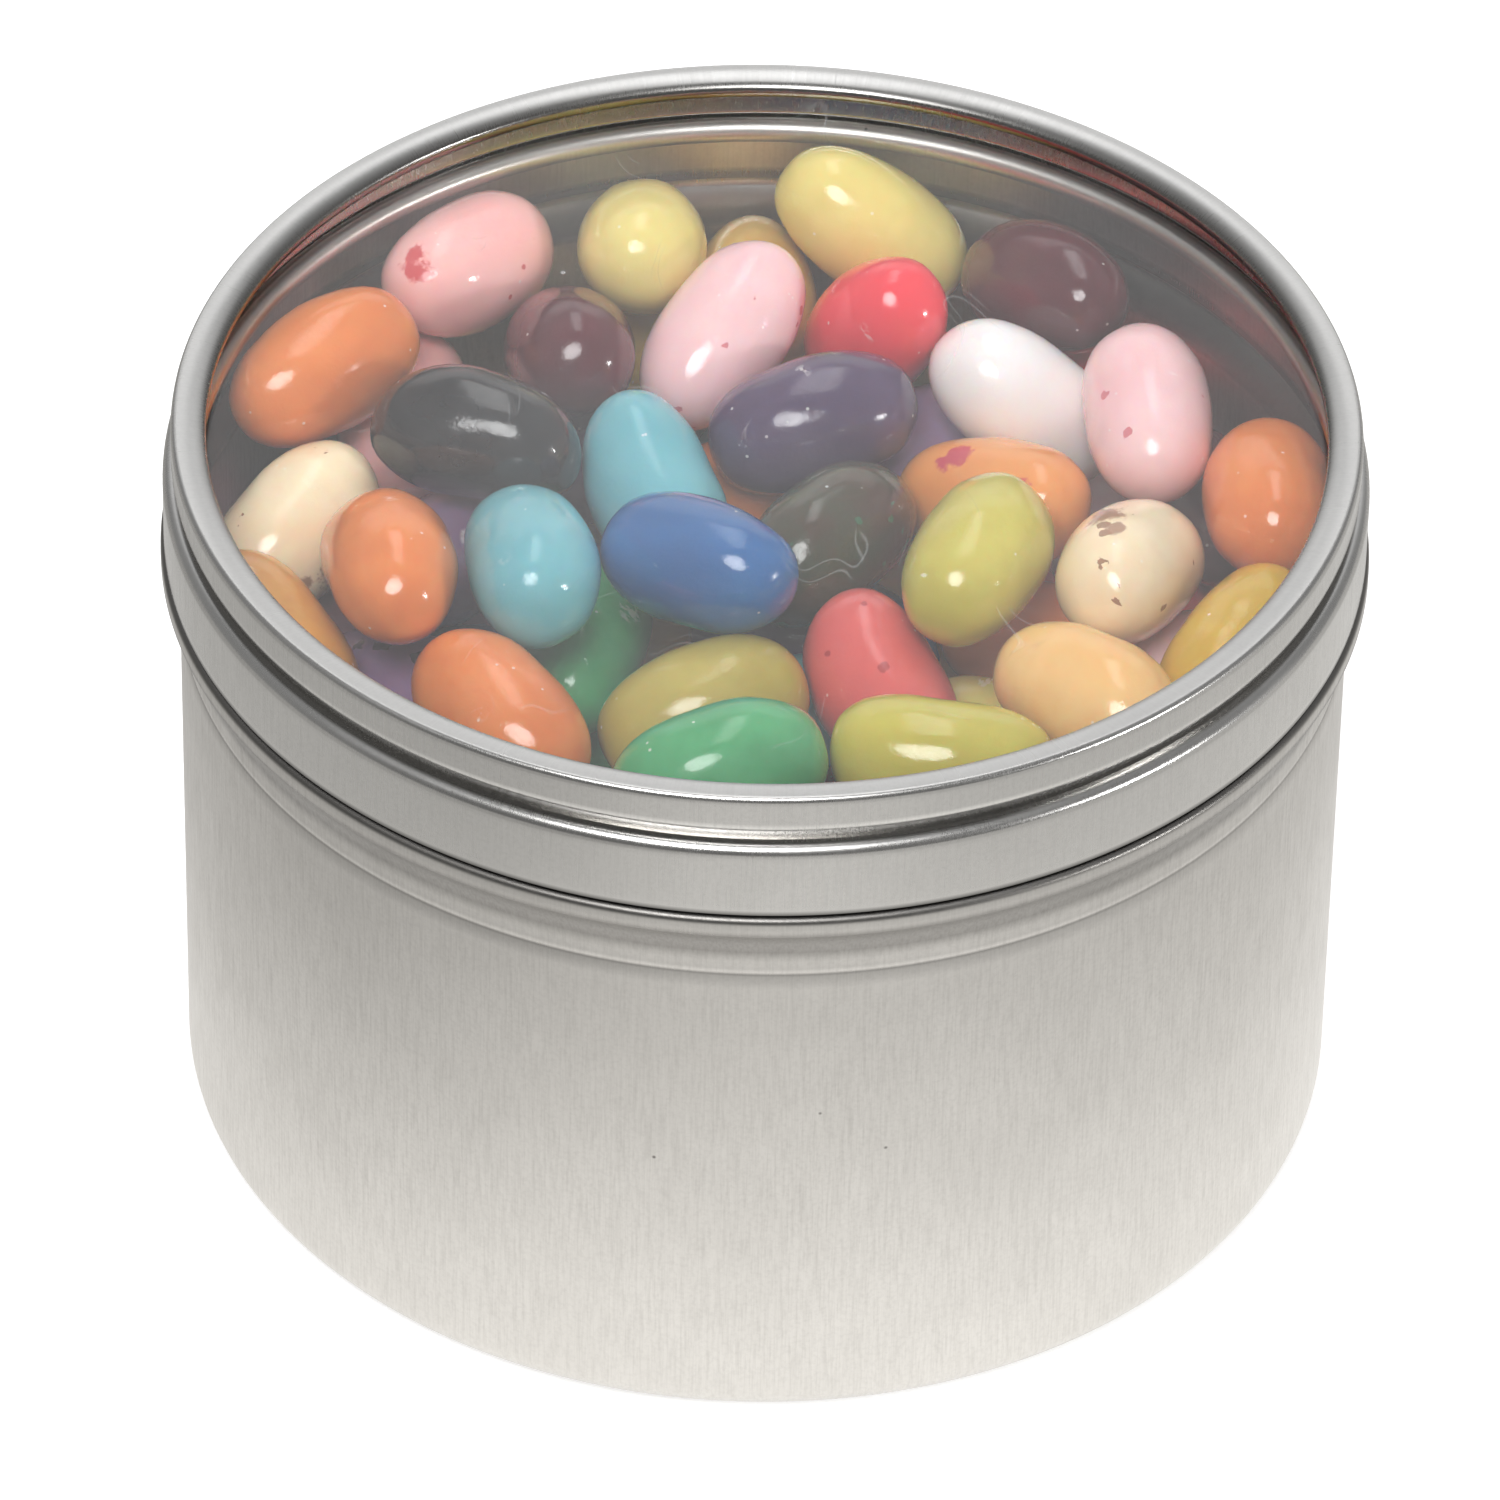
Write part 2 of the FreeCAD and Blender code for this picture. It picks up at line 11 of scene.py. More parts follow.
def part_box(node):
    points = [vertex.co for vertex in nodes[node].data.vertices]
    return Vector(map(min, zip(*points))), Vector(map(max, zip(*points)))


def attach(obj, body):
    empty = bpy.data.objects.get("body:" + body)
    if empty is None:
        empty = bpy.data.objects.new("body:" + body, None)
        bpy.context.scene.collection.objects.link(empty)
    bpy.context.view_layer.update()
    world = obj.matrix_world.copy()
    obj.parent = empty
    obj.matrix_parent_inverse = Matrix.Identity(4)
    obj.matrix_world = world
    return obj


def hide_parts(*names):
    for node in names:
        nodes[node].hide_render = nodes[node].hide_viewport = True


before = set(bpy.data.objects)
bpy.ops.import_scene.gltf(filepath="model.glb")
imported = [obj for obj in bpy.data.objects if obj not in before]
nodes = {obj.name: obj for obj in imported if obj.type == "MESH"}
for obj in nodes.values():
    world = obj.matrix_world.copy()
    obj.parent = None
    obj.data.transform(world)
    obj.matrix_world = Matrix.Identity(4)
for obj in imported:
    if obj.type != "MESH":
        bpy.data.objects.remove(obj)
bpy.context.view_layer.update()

scene = bpy.context.scene

# Places and sizes read from the frame
TIN_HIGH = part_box("tin_body")[1]
LID_LOW, LID_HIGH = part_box("lid_ring")
PANE_LOW, PANE_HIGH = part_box("lid_window")
LID_FOOT = LID_LOW.z

# Fineness of the turned pieces, in steps round and in metres along the outline, and of the beans
TURNED_STEPS = 288
TIN_STEP = 0.0006
LID_STEP = 0.0004
SHARP_ANGLE = math.radians(38)
SHOWN_BEAN_SPLITS = 4
BED_BEAN_SPLITS = 3

# Lengths in metres: within which points are one, on the axis or in line, and the least step outward
ONE_POINT = 1e-7
ON_AXIS = 1e-6
HAIR = 1e-6
NUDGE = 1e-8

# The fine line scored round the wall under the lid, in metres
SCORE_DROP = 0.0065
SCORE_WIDTH = 0.00022
SCORE_DEPTH = 0.00005

# The parts of the plate given painted shade, in metres: drops below the lid's foot or top, widths in from
# the edges
FLARE_DROP = 0.0054
FLARE_MIDDLE_DROP = 0.0043
BEAD_DROP = 0.00175
FLARE_WIDTH = 0.0016
SEAT_DROP = 0.0008
SEAT_BAND = 0.0002
ROLL_WIDTH = 0.0019
ROLL_DROP = 0.0005
ROLL_EDGE_DROP = 0.000125
WAIST_WIDTH = 0.00072
WAIST_LOW_DROP = 0.0041
WAIST_HIGH_DROP = 0.0026

# How much painted shade those parts get, from 0 to 1
FLARE_PAINTED_SHADE = 0.68
SEAT_PAINTED_SHADE = 0.8
SCORE_PAINTED_SHADE = 0.35
FOOT_PAINTED_SHADE = 0.85
WAIST_PAINTED_SHADE = 0.45
ROLL_PAINTED_SHADE = 0.7

# What counts as a fully rubbed edge and as lying flat, and the pane's chamfer as a share of its gauge
FULL_RUB_TURN = math.radians(30)
FLAT_GAIN = 1.6
FLAT_START = 0.5
PANE_CHAMFER_SHARE = 0.125

# The lid's shoulder, in metres below its top: how it is rounded in the solid and in the pressed sheet
SHOULDER_DROP = 0.00405
SHOULDER_ROUND = 0.00045
FULL_ROUND = 0.0009
ROUND_STEPS = 14

# The share of the solid's rounding past which a point of the outline lies on the shoulder
SHOULDER_REACH = 0.8

# The rolled rim: how far in from the lid's edge its crest lies, in metres, and how squarely it rounds
CREST_INSET = 0.0011
RIM_POWER = 2.1
RIM_STEPS = 18

# How a bean departs from the plain barrel, in metres or as shares of its own sizes
BARREL_POWER = 2.35
KIDNEY_BEND = 0.00075
DENT_DEPTH = 0.00032
DENT_SIZE = 0.0052
END_TAPER_SHARE = 0.07
SLIM_SHARE = 0.985

# How a bean's own seed sways its taper, its bend and its dents
BEND_MIDDLE = 0.4
BEND_LEAST, BEND_SWAY = 0.7, 0.4
TAPER_LOT, BEND_LOT = 37.0, 91.0
SEED_SHIFT = (0.31, 0.17, 0.23)
DENT_NOISE, DENT_MIDDLE = (1.0, 0.4), 0.56

# The digits by which beans are put in order, and the seed of all that is drawn by lot
SORT_DIGITS = 5
BEAN_SEED = 20

# Where the camera stands, from the edges of the tin in the photograph
PHOTO_SIDE = 1500
PHOTO_FOCUS = 11570.2
CAMERA_RISE = math.radians(39.777)
CAMERA_ROLL = math.radians(1.094)
CAMERA_REACH = 0.86473
CAMERA_AIM = Vector((-0.000806, 0, 0.027663))
SENSOR_WIDTH = 36
NEAREST_SEEN = 0.01
FARTHEST_SEEN = 50

# The bright strip that the metal mirrors, from the back to overhead: bounds in a unit direction, and level
STRIP_EDGE = 0.2
STRIP_CORE = 0.06
STRIP_LOW = 0.68
STRIP_FADE = 0.08
STRIP_LEVEL = 2.6

# The level of the surroundings on the object
ROOM_LEVEL = 0.42

# In the metal: the bounds of the backdrop and of the sides in a unit direction, and the sides' levels
BACKDROP_TOP = (0.668, 0.622)
BACKDROP_SIDES = (0.7, 0.93)
SIDE_BAND = (-0.6, 0.1)
SIDE_FRONT_LEVEL = 0.14
SIDE_BACK_LEVEL = 0.26

# The floor: its size in metres, its grain and how much it glows to the camera
FLOOR_RADIUS = 4.0
FLOOR_CORNERS = 96
FLOOR_GRAIN_SIZE = 30.0
FLOOR_GLOW = 0.45

# The floor's painted glow in the metal, a pool of light: it dims outward over tin radii and to both sides
# over metres
POOL_SPREAD, POOL_NEAR_LEVEL, POOL_FAR_LEVEL = 3, 1.1, 0.58
POOL_FOOT_SPREAD, POOL_FOOT_GAIN = 1.7, 1.15
POOL_LEFT, POOL_LEFT_LEVELS = (-0.005, -0.09), (0.94, 0.62)
POOL_RIGHT, POOL_RIGHT_LEVELS = (0.015, 0.08), (1.0, 0.87)


def paint(red, green, blue):
    """A colour written as a painter's 0 to 255 values, as the linear colour that a socket takes, by the
    usual curve of a screen."""
    values = []
    for level in (red, green, blue):
        share = level / 255
        values.append(share / 12.92 if share <= 0.04045 else ((share + 0.055) / 1.055) ** 2.4)
    return (*values, 1)


class Weave:
    """A node tree in the making: adds nodes, sets what is plain and joins what comes from a node."""

    def __init__(self, tree):
        self.tree = tree

    def put(self, socket, value):
        """Join a node's output to a socket, or set the socket to a plain value."""
        if isinstance(value, bpy.types.NodeSocket):
            self.tree.links.new(value, socket)
        elif value is not None:
            socket.default_value = value

    def add(self, kind, inputs=None, **settings):
        """A new node with its settings and inputs, the inputs by name or by number."""
        node = self.tree.nodes.new(kind)
        for name, value in settings.items():
            setattr(node, name, value)
        for name, value in (inputs or {}).items():
            self.put(node.inputs[name], value)
        return node

    def math(self, operation, first, second=None, third=None, clamp=False):
        """A sum on one to three values."""
        values = {number: value for number, value in enumerate((first, second, third)) if value is not None}
        return self.add("ShaderNodeMath", values, operation=operation, use_clamp=clamp).outputs[0]

    def vector(self, operation, first, second=None):
        """A sum on one or two vectors."""
        values = {0: first} if second is None else {0: first, 1: second}
        return self.add("ShaderNodeVectorMath", values, operation=operation).outputs[0]

    def scaled(self, vector, factor):
        """A vector made longer or shorter."""
        node = self.add("ShaderNodeVectorMath", {0: vector, "Scale": factor}, operation="SCALE")
        return node.outputs[0]

    def range(self, value, low, high, to_low=0.0, to_high=1.0):
        """A value's place between low and high, kept within the new limits, with soft ends."""
        inputs = {"Value": value, "From Min": low, "From Max": high, "To Min": to_low, "To Max": to_high}
        return self.add("ShaderNodeMapRange", inputs, interpolation_type="SMOOTHSTEP").outputs[0]

    def mix(self, factor, first, second, blend="MIX"):
        """Two colours mixed."""
        inputs = {0: factor, 6: first, 7: second}
        node = self.add("ShaderNodeMix", inputs, data_type="RGBA", blend_type=blend)
        return node.outputs[2]

    def noise(self, vector, scale, detail, roughness):
        """Soft noise from 0 to 1."""
        inputs = {"Vector": vector, "Scale": scale, "Detail": detail, "Roughness": roughness}
        return self.add("ShaderNodeTexNoise", inputs).outputs[0]

    def stretched(self, vector, scale):
        """Coordinates stretched by a scale for each axis."""
        return self.add("ShaderNodeMapping", {"Vector": vector, "Scale": scale}).outputs[0]


def new_group(name, inputs, outputs, kind="ShaderNodeTree"):
    """A node group with named sockets: its tree in the making, its inputs and its output node."""
    tree = bpy.data.node_groups.new(name, kind)
    for label, socket, value in inputs:
        made = tree.interface.new_socket(label, in_out="INPUT", socket_type="NodeSocket" + socket)
        if value is not None:
            made.default_value = value
    for label, socket in outputs:
        tree.interface.new_socket(label, in_out="OUTPUT", socket_type="NodeSocket" + socket)
    weave = Weave(tree)
    inlet = weave.add("NodeGroupInput").outputs
    return weave, inlet, weave.add("NodeGroupOutput").inputs


def place_group(weave, group, **values):
    """A shared effect placed in a material with its own values; returns its outputs."""
    inputs = {name.replace("_", " ").capitalize(): value for name, value in values.items()}
    node = weave.add("ShaderNodeGroup", node_tree=group)
    for name, value in inputs.items():
        weave.put(node.inputs[name], value)
    return node.outputs


def new_material(name):
    """An empty material: its tree in the making, its Principled shader and the material."""
    material = bpy.data.materials.new(name)
    material.use_nodes = True
    weave = Weave(material.node_tree)
    shader = material.node_tree.nodes["Principled BSDF"]
    return weave, shader, material


def set_plain(shader, **values):
    """Set what is the same all over the surface on the shader's own sockets."""
    for name, value in values.items():
        shader.inputs[name.replace("_", " ")].default_value = value


# Shared effects of the tinplate: a NOISE is its detail and roughness, a BAND where it starts and is full
LINE_NOISE = (3.0, 0.65)
CLOUD_NOISE = (4.0, 0.6)
FROST_NOISE = (3.0, 0.6)
SPOKE_NOISE = (3.0, 0.7)
SMUDGE_NOISE, SMUDGE_BAND = (3.0, 0.55), (0.42, 0.68)
SCRATCH_BEND_SIZE, SCRATCH_BEND_DETAIL, SCRATCH_BEND_REACH = 45.0, 1.0, 0.02
SCRATCH_STRETCH, SCRATCH_NOISE, SCRATCH_BAND = (1.0, 0.25, 2.4), (1.0, 0.4), (0.004, 0.0)
BREAK_SIZE, BREAK_NOISE, BREAK_BAND = 120.0, (1.0, 0.5), (0.56, 0.66)
SPECK_RARITY, SPECK_BAND = 0.985, (0.09, 0.03)


def make_drawn_grain():
    """Fine upright lines, as the drawing of the sheet leaves them, with slow clouding between."""
    weave, inlet, outlet = new_group(
        "drawn grain",
        [("Fineness", "Float", 5200.0), ("Length", "Float", 260.0), ("Clouding", "Float", 60.0),
         ("Frosting", "Float", 2800.0)],
        [("Lines", "Float"), ("Clouds", "Float"), ("Frost", "Float")])
    place = weave.add("ShaderNodeTexCoord").outputs["Object"]
    scale = weave.add("ShaderNodeCombineXYZ", {
        0: inlet["Fineness"], 1: inlet["Fineness"], 2: inlet["Length"]})
    lines = weave.noise(weave.vector("MULTIPLY", place, scale.outputs[0]), 1.0, *LINE_NOISE)
    weave.put(outlet["Lines"], lines)
    weave.put(outlet["Clouds"], weave.noise(place, inlet["Clouding"], *CLOUD_NOISE))
    weave.put(outlet["Frost"], weave.noise(place, inlet["Frosting"], *FROST_NOISE))
    return weave.tree


def make_spoke_brush():
    """Lines that run out from the axis, as brushing leaves them on a rim."""
    weave, inlet, outlet = new_group(
        "spoke brush", [("Fineness", "Float", 420.0)], [("Lines", "Float")])
    place = weave.add("ShaderNodeTexCoord").outputs["Object"]
    flat = weave.vector("MULTIPLY", place, (1, 1, 0))
    spoke = weave.vector("NORMALIZE", flat)
    weave.put(outlet["Lines"], weave.noise(spoke, inlet["Fineness"], *SPOKE_NOISE))
    return weave.tree


def make_handling():
    """Marks of handling: faint smudges, hair scratches and small dark specks."""
    weave, inlet, outlet = new_group(
        "handling",
        [("Smudge size", "Float", 55.0), ("Scratch size", "Float", 160.0), ("Speck size", "Float", 420.0)],
        [("Smudges", "Float"), ("Scratches", "Float"), ("Specks", "Float")])
    place = weave.add("ShaderNodeTexCoord").outputs["Object"]
    smudge = weave.noise(place, inlet["Smudge size"], *SMUDGE_NOISE)
    weave.put(outlet["Smudges"], weave.range(smudge, *SMUDGE_BAND))
    stray = weave.add("ShaderNodeTexNoise", {
        "Vector": place, "Scale": SCRATCH_BEND_SIZE, "Detail": SCRATCH_BEND_DETAIL}).outputs["Color"]
    bent = weave.vector("ADD", place, weave.scaled(stray, SCRATCH_BEND_REACH))
    hair = weave.noise(weave.stretched(bent, SCRATCH_STRETCH), inlet["Scratch size"], *SCRATCH_NOISE)
    thin = weave.math("ABSOLUTE", weave.math("SUBTRACT", hair, 0.5))
    broken = weave.range(weave.noise(place, BREAK_SIZE, *BREAK_NOISE), *BREAK_BAND)
    weave.put(outlet["Scratches"], weave.math("MULTIPLY", weave.range(thin, *SCRATCH_BAND), broken))
    cells = weave.add("ShaderNodeTexVoronoi", {"Vector": place, "Scale": inlet["Speck size"]})
    lot = weave.add("ShaderNodeSeparateColor", {0: cells.outputs["Color"]}).outputs[0]
    rare = weave.math("GREATER_THAN", lot, SPECK_RARITY)
    dot = weave.range(cells.outputs["Distance"], *SPECK_BAND)
    weave.put(outlet["Specks"], weave.math("MULTIPLY", dot, rare))
    return weave.tree


# Shared effects of the sugar shells: clouding and grain, freckles, then scuffed patches and sugar pips
SHELL_CLOUD_NOISE = (2.0, 0.5)
SHELL_MOTTLE_NOISE = (4.0, 0.62)
SHELL_GRAIN_SIZE, SHELL_GRAIN_NOISE = 2700.0, (2.0, 0.55)
FRECKLE_TEAR_SHARE, FRECKLE_TEAR_DETAIL = 2.6, 3.0
FRECKLE_PATCH_NOISE, FRECKLE_PATCH_BAND = (1.0, 0.5), (0.35, 0.65)
FRECKLE_LEAST, FRECKLE_GROWTH, FRECKLE_EDGE = 0.1, 0.42, (-0.03, 0.07)
STROKE_STRETCH, STROKE_NOISE, STROKE_BAND = (1500.0, 520.0, 1100.0), (3.0, 0.7), (0.46, 0.6)
WORN_SIZE, WORN_NOISE = 190.0, (1.0, 0.5)
WORN_LIMIT, WORN_GAIN, WORN_EDGE = 0.79, 0.12, 0.05
PIP_SIZE, PIP_LIMIT, PIP_GAIN, PIP_BAND = 1150.0, 0.99, 0.11, (0.2, 0.08)


def make_shell_clouds():
    """Soft clouding of a sugar shell at two sizes, and fine grain, all following the bean."""
    weave, inlet, outlet = new_group(
        "shell clouds",
        [("Broad", "Float", 170.0), ("Fine", "Float", 900.0)],
        [("Clouds", "Float"), ("Mottle", "Float"), ("Grain", "Float")])
    place = weave.add("ShaderNodeAttribute", attribute_name="shell_place").outputs["Vector"]
    weave.put(outlet["Clouds"], weave.noise(place, inlet["Broad"], *SHELL_CLOUD_NOISE))
    weave.put(outlet["Mottle"], weave.noise(place, inlet["Fine"], *SHELL_MOTTLE_NOISE))
    weave.put(outlet["Grain"], weave.noise(place, SHELL_GRAIN_SIZE, *SHELL_GRAIN_NOISE))
    return weave.tree


def make_shell_freckles():
    """Blotches and specks of a second colour, ragged at the edge and thicker in some places."""
    weave, inlet, outlet = new_group(
        "shell freckles",
        [("Size", "Float", 420.0), ("Cover", "Float", 0.2), ("Ragged", "Float", 0.35),
         ("Patch", "Float", 130.0)],
        [("Mask", "Float")])
    place = weave.add("ShaderNodeAttribute", attribute_name="shell_place").outputs["Vector"]
    fine = weave.math("MULTIPLY", inlet["Size"], FRECKLE_TEAR_SHARE)
    torn = weave.add("ShaderNodeTexNoise", {
        "Vector": place, "Scale": fine, "Detail": FRECKLE_TEAR_DETAIL}).outputs["Color"]
    step = weave.math("DIVIDE", inlet["Ragged"], inlet["Size"])
    loose = weave.vector("ADD", place, weave.scaled(weave.vector("SUBTRACT", torn, (0.5, 0.5, 0.5)), step))
    cells = weave.add("ShaderNodeTexVoronoi", {"Vector": loose, "Scale": inlet["Size"]})
    lot = weave.add("ShaderNodeSeparateColor", {0: cells.outputs["Color"]}).outputs
    crowd = weave.range(weave.noise(place, inlet["Patch"], *FRECKLE_PATCH_NOISE), *FRECKLE_PATCH_BAND)
    chosen = weave.math("LESS_THAN", lot[0], weave.math("MULTIPLY", crowd, inlet["Cover"]))
    reach = weave.math("MULTIPLY_ADD", lot[1], FRECKLE_GROWTH, FRECKLE_LEAST)
    edge = weave.math("SUBTRACT", reach, cells.outputs["Distance"])
    weave.put(outlet["Mask"], weave.math("MULTIPLY", weave.range(edge, *FRECKLE_EDGE), chosen))
    return weave.tree


def make_shell_wear():
    """Where shells rubbed on each other: pale scuffs in short strokes, and tiny sugar pips."""
    weave, inlet, outlet = new_group(
        "shell wear", [("Amount", "Float", 0.5)], [("Scuffs", "Float"), ("Pips", "Float")])
    place = weave.add("ShaderNodeAttribute", attribute_name="shell_place").outputs["Vector"]
    strokes = weave.noise(weave.stretched(place, STROKE_STRETCH), 1.0, *STROKE_NOISE)
    patch = weave.noise(place, WORN_SIZE, *WORN_NOISE)
    limit = weave.math("SUBTRACT", WORN_LIMIT, weave.math("MULTIPLY", inlet["Amount"], WORN_GAIN))
    worn = weave.range(patch, limit, weave.math("ADD", limit, WORN_EDGE))
    weave.put(outlet["Scuffs"], weave.math("MULTIPLY", worn, weave.range(strokes, *STROKE_BAND)))
    cells = weave.add("ShaderNodeTexVoronoi", {"Vector": place, "Scale": PIP_SIZE})
    lot = weave.add("ShaderNodeSeparateColor", {0: cells.outputs["Color"]}).outputs[0]
    limit = weave.math("SUBTRACT", PIP_LIMIT, weave.math("MULTIPLY", inlet["Amount"], PIP_GAIN))
    rare = weave.math("GREATER_THAN", lot, limit)
    dot = weave.range(cells.outputs["Distance"], *PIP_BAND)
    weave.put(outlet["Pips"], weave.math("MULTIPLY", rare, dot))
    return weave.tree


DRAWN_GRAIN = make_drawn_grain()
SPOKE_BRUSH = make_spoke_brush()
HANDLING = make_handling()
SHELL_CLOUDS = make_shell_clouds()
SHELL_FRECKLES = make_shell_freckles()
SHELL_WEAR = make_shell_wear()


# Tinplate: how far each effect shades it, what it adds to the roughness, and its relief in metres
SPOKE_LEVELS = (0.2, 0.8)
CLOUD_BAND = (0.3, 0.7)
LINE_BAND, LINE_SHADE = (0.35, 0.75), 0.28
FROST_BAND, FROST_SHADE = (0.4, 0.7), 0.22
GLOSS_BAND = (0.25, 0.8)
# Painted shade on flat-lying plate, which is greyed towards a darker tone
FLAT_PAINTED_SHADE, FLAT_PAINTED_TONE = 0.4, paint(158, 161, 166)
# Painted shade for the gaps, creases and hollows that the turned pieces mark, and its dark tone
PAINTED_SHADE_SHARE, PAINTED_SHADE_TONE = 0.85, paint(64, 60, 56)
SPECK_SHADE, SPECK_TONE = 0.75, paint(84, 80, 76)
RUB_SHINE = 0.5
SMUDGE_ROUGHNESS = 0.05
FLAT_ROUGHNESS = 0.07
RUB_ROUGHNESS = -0.08
SCRATCH_HEIGHT = -0.8
PLATE_BUMP = 0.12
FINE_RELIEF = 0.00003


def tinplate(name, light, dark, deep, smooth, rough, brushed_share):
    """Tinplate: upright drawing grain on the walls, spokes on the flats, rubbed edges and handling, with
    painted shade on flat-lying plate and in its gaps, creases and hollows.
    """
    weave, shader, material = new_material(name)
    grain = place_group(weave, DRAWN_GRAIN)
    brush = place_group(weave, SPOKE_BRUSH)
    marks = place_group(weave, HANDLING)
    rub = weave.add("ShaderNodeAttribute", attribute_name="edge_rub").outputs["Fac"]
    flatness = weave.add("ShaderNodeAttribute", attribute_name="lies_flat").outputs["Fac"]
    spokes = weave.range(brush["Lines"], 0.0, 1.0, *SPOKE_LEVELS)
    lines = weave.add("ShaderNodeMix", {0: flatness, 2: grain["Lines"], 3: spokes}).outputs[0]
    tone = weave.mix(weave.range(grain["Clouds"], *CLOUD_BAND), dark, light)
    tone = weave.mix(weave.range(lines, *LINE_BAND, 0.0, LINE_SHADE), tone, deep)
    tone = weave.mix(weave.range(grain["Frost"], *FROST_BAND, 0.0, FROST_SHADE), tone, deep)
    # Painted shade: flat-lying plate greyed towards a darker tone
    tone = weave.mix(weave.math("MULTIPLY", flatness, FLAT_PAINTED_SHADE), tone, FLAT_PAINTED_TONE)
    tone = weave.mix(weave.math("MULTIPLY", rub, RUB_SHINE), tone, light)
    # Painted shade in the gaps between lid and tin, in creases, under the bead and inside the roll
    painted_shade = weave.add("ShaderNodeAttribute", attribute_name="painted_shade").outputs["Fac"]
    tone = weave.mix(weave.math("MULTIPLY", painted_shade, PAINTED_SHADE_SHARE), tone, PAINTED_SHADE_TONE)
    tone = weave.mix(weave.math("MULTIPLY", marks["Specks"], SPECK_SHADE), tone, SPECK_TONE)
    weave.put(shader.inputs["Base Color"], tone)
    gloss = weave.range(lines, *GLOSS_BAND, smooth, rough)
    gloss = weave.math("MULTIPLY_ADD", marks["Smudges"], SMUDGE_ROUGHNESS, gloss)
    gloss = weave.math("MULTIPLY_ADD", flatness, FLAT_ROUGHNESS, gloss)
    gloss = weave.math("MULTIPLY_ADD", rub, RUB_ROUGHNESS, gloss, clamp=True)
    weave.put(shader.inputs["Roughness"], gloss)
    brushed = weave.math("MULTIPLY", lines, brushed_share)
    height = weave.math("MULTIPLY_ADD", marks["Scratches"], SCRATCH_HEIGHT, brushed)
    bump = weave.add("ShaderNodeBump", {"Height": height, "Strength": PLATE_BUMP, "Distance": FINE_RELIEF})
    weave.put(shader.inputs["Normal"], bump.outputs[0])
    set_plain(shader, Metallic=1.0, Anisotropic=0.35)
    return material


# The window: its haze, tone and roughness where clear and where smudged
CLEAR_HAZE, SMUDGE_HAZE = 0.012, 0.03
CLEAR_TONE, SMUDGE_TONE = paint(246, 246, 247), paint(228, 229, 231)
CLEAR_ROUGHNESS, SMUDGED_ROUGHNESS = 0.03, 0.1

# What scratches and dust add to the window, and how it mirrors head on and aslant
SCRATCH_HAZE = 0.12
DUST_HAZE = 0.35
PANE_BUMP = 0.1
HEAD_ON_MIRROR, MIRROR_POWER, MIRROR_BLUR = 0.04, 5.0, 0.02


def clear_plastic():
    """The window: clear plastic with a faint haze, hair scratches and dust, that lets the light in."""
    weave, shader, material = new_material("window_plastic")
    marks = place_group(weave, HANDLING, smudge_size=38.0, scratch_size=90.0, speck_size=260.0)
    haze = weave.range(marks["Smudges"], 0.0, 1.0, CLEAR_HAZE, SMUDGE_HAZE)
    haze = weave.math("MULTIPLY_ADD", marks["Scratches"], SCRATCH_HAZE, haze)
    haze = weave.math("MULTIPLY_ADD", marks["Specks"], DUST_HAZE, haze)
    facing = weave.add("ShaderNodeLayerWeight", {"Blend": 0.5}).outputs["Facing"]
    glancing = weave.math("POWER", facing, MIRROR_POWER)
    mirror = weave.math("MULTIPLY_ADD", glancing, 1 - HEAD_ON_MIRROR, HEAD_ON_MIRROR)
    weave.put(shader.inputs["Base Color"], weave.mix(marks["Smudges"], CLEAR_TONE, SMUDGE_TONE))
    blur = weave.range(marks["Smudges"], 0.0, 1.0, CLEAR_ROUGHNESS, SMUDGED_ROUGHNESS)
    weave.put(shader.inputs["Roughness"], blur)
    bump = weave.add("ShaderNodeBump", {
        "Height": marks["Scratches"], "Strength": PANE_BUMP, "Distance": FINE_RELIEF})
    weave.put(shader.inputs["Normal"], bump.outputs[0])
    weave.put(shader.inputs["Alpha"], haze)
    set_plain(shader, IOR=1.5)
    gloss = weave.add("ShaderNodeBsdfAnisotropic", {"Color": (1, 1, 1, 1), "Roughness": MIRROR_BLUR})
    path = weave.add("ShaderNodeLightPath").outputs
    lighting = weave.math("MAXIMUM", path["Is Shadow Ray"], path["Is Diffuse Ray"])
    seen = weave.math("SUBTRACT", 1.0, lighting)
    mirrored = weave.add("ShaderNodeMixShader", {
        0: weave.math("MULTIPLY", mirror, seen), 1: shader.outputs[0], 2: gloss.outputs[0]})
    weave.put(material.node_tree.nodes["Material Output"].inputs["Surface"], mirrored.outputs[0])
    return material


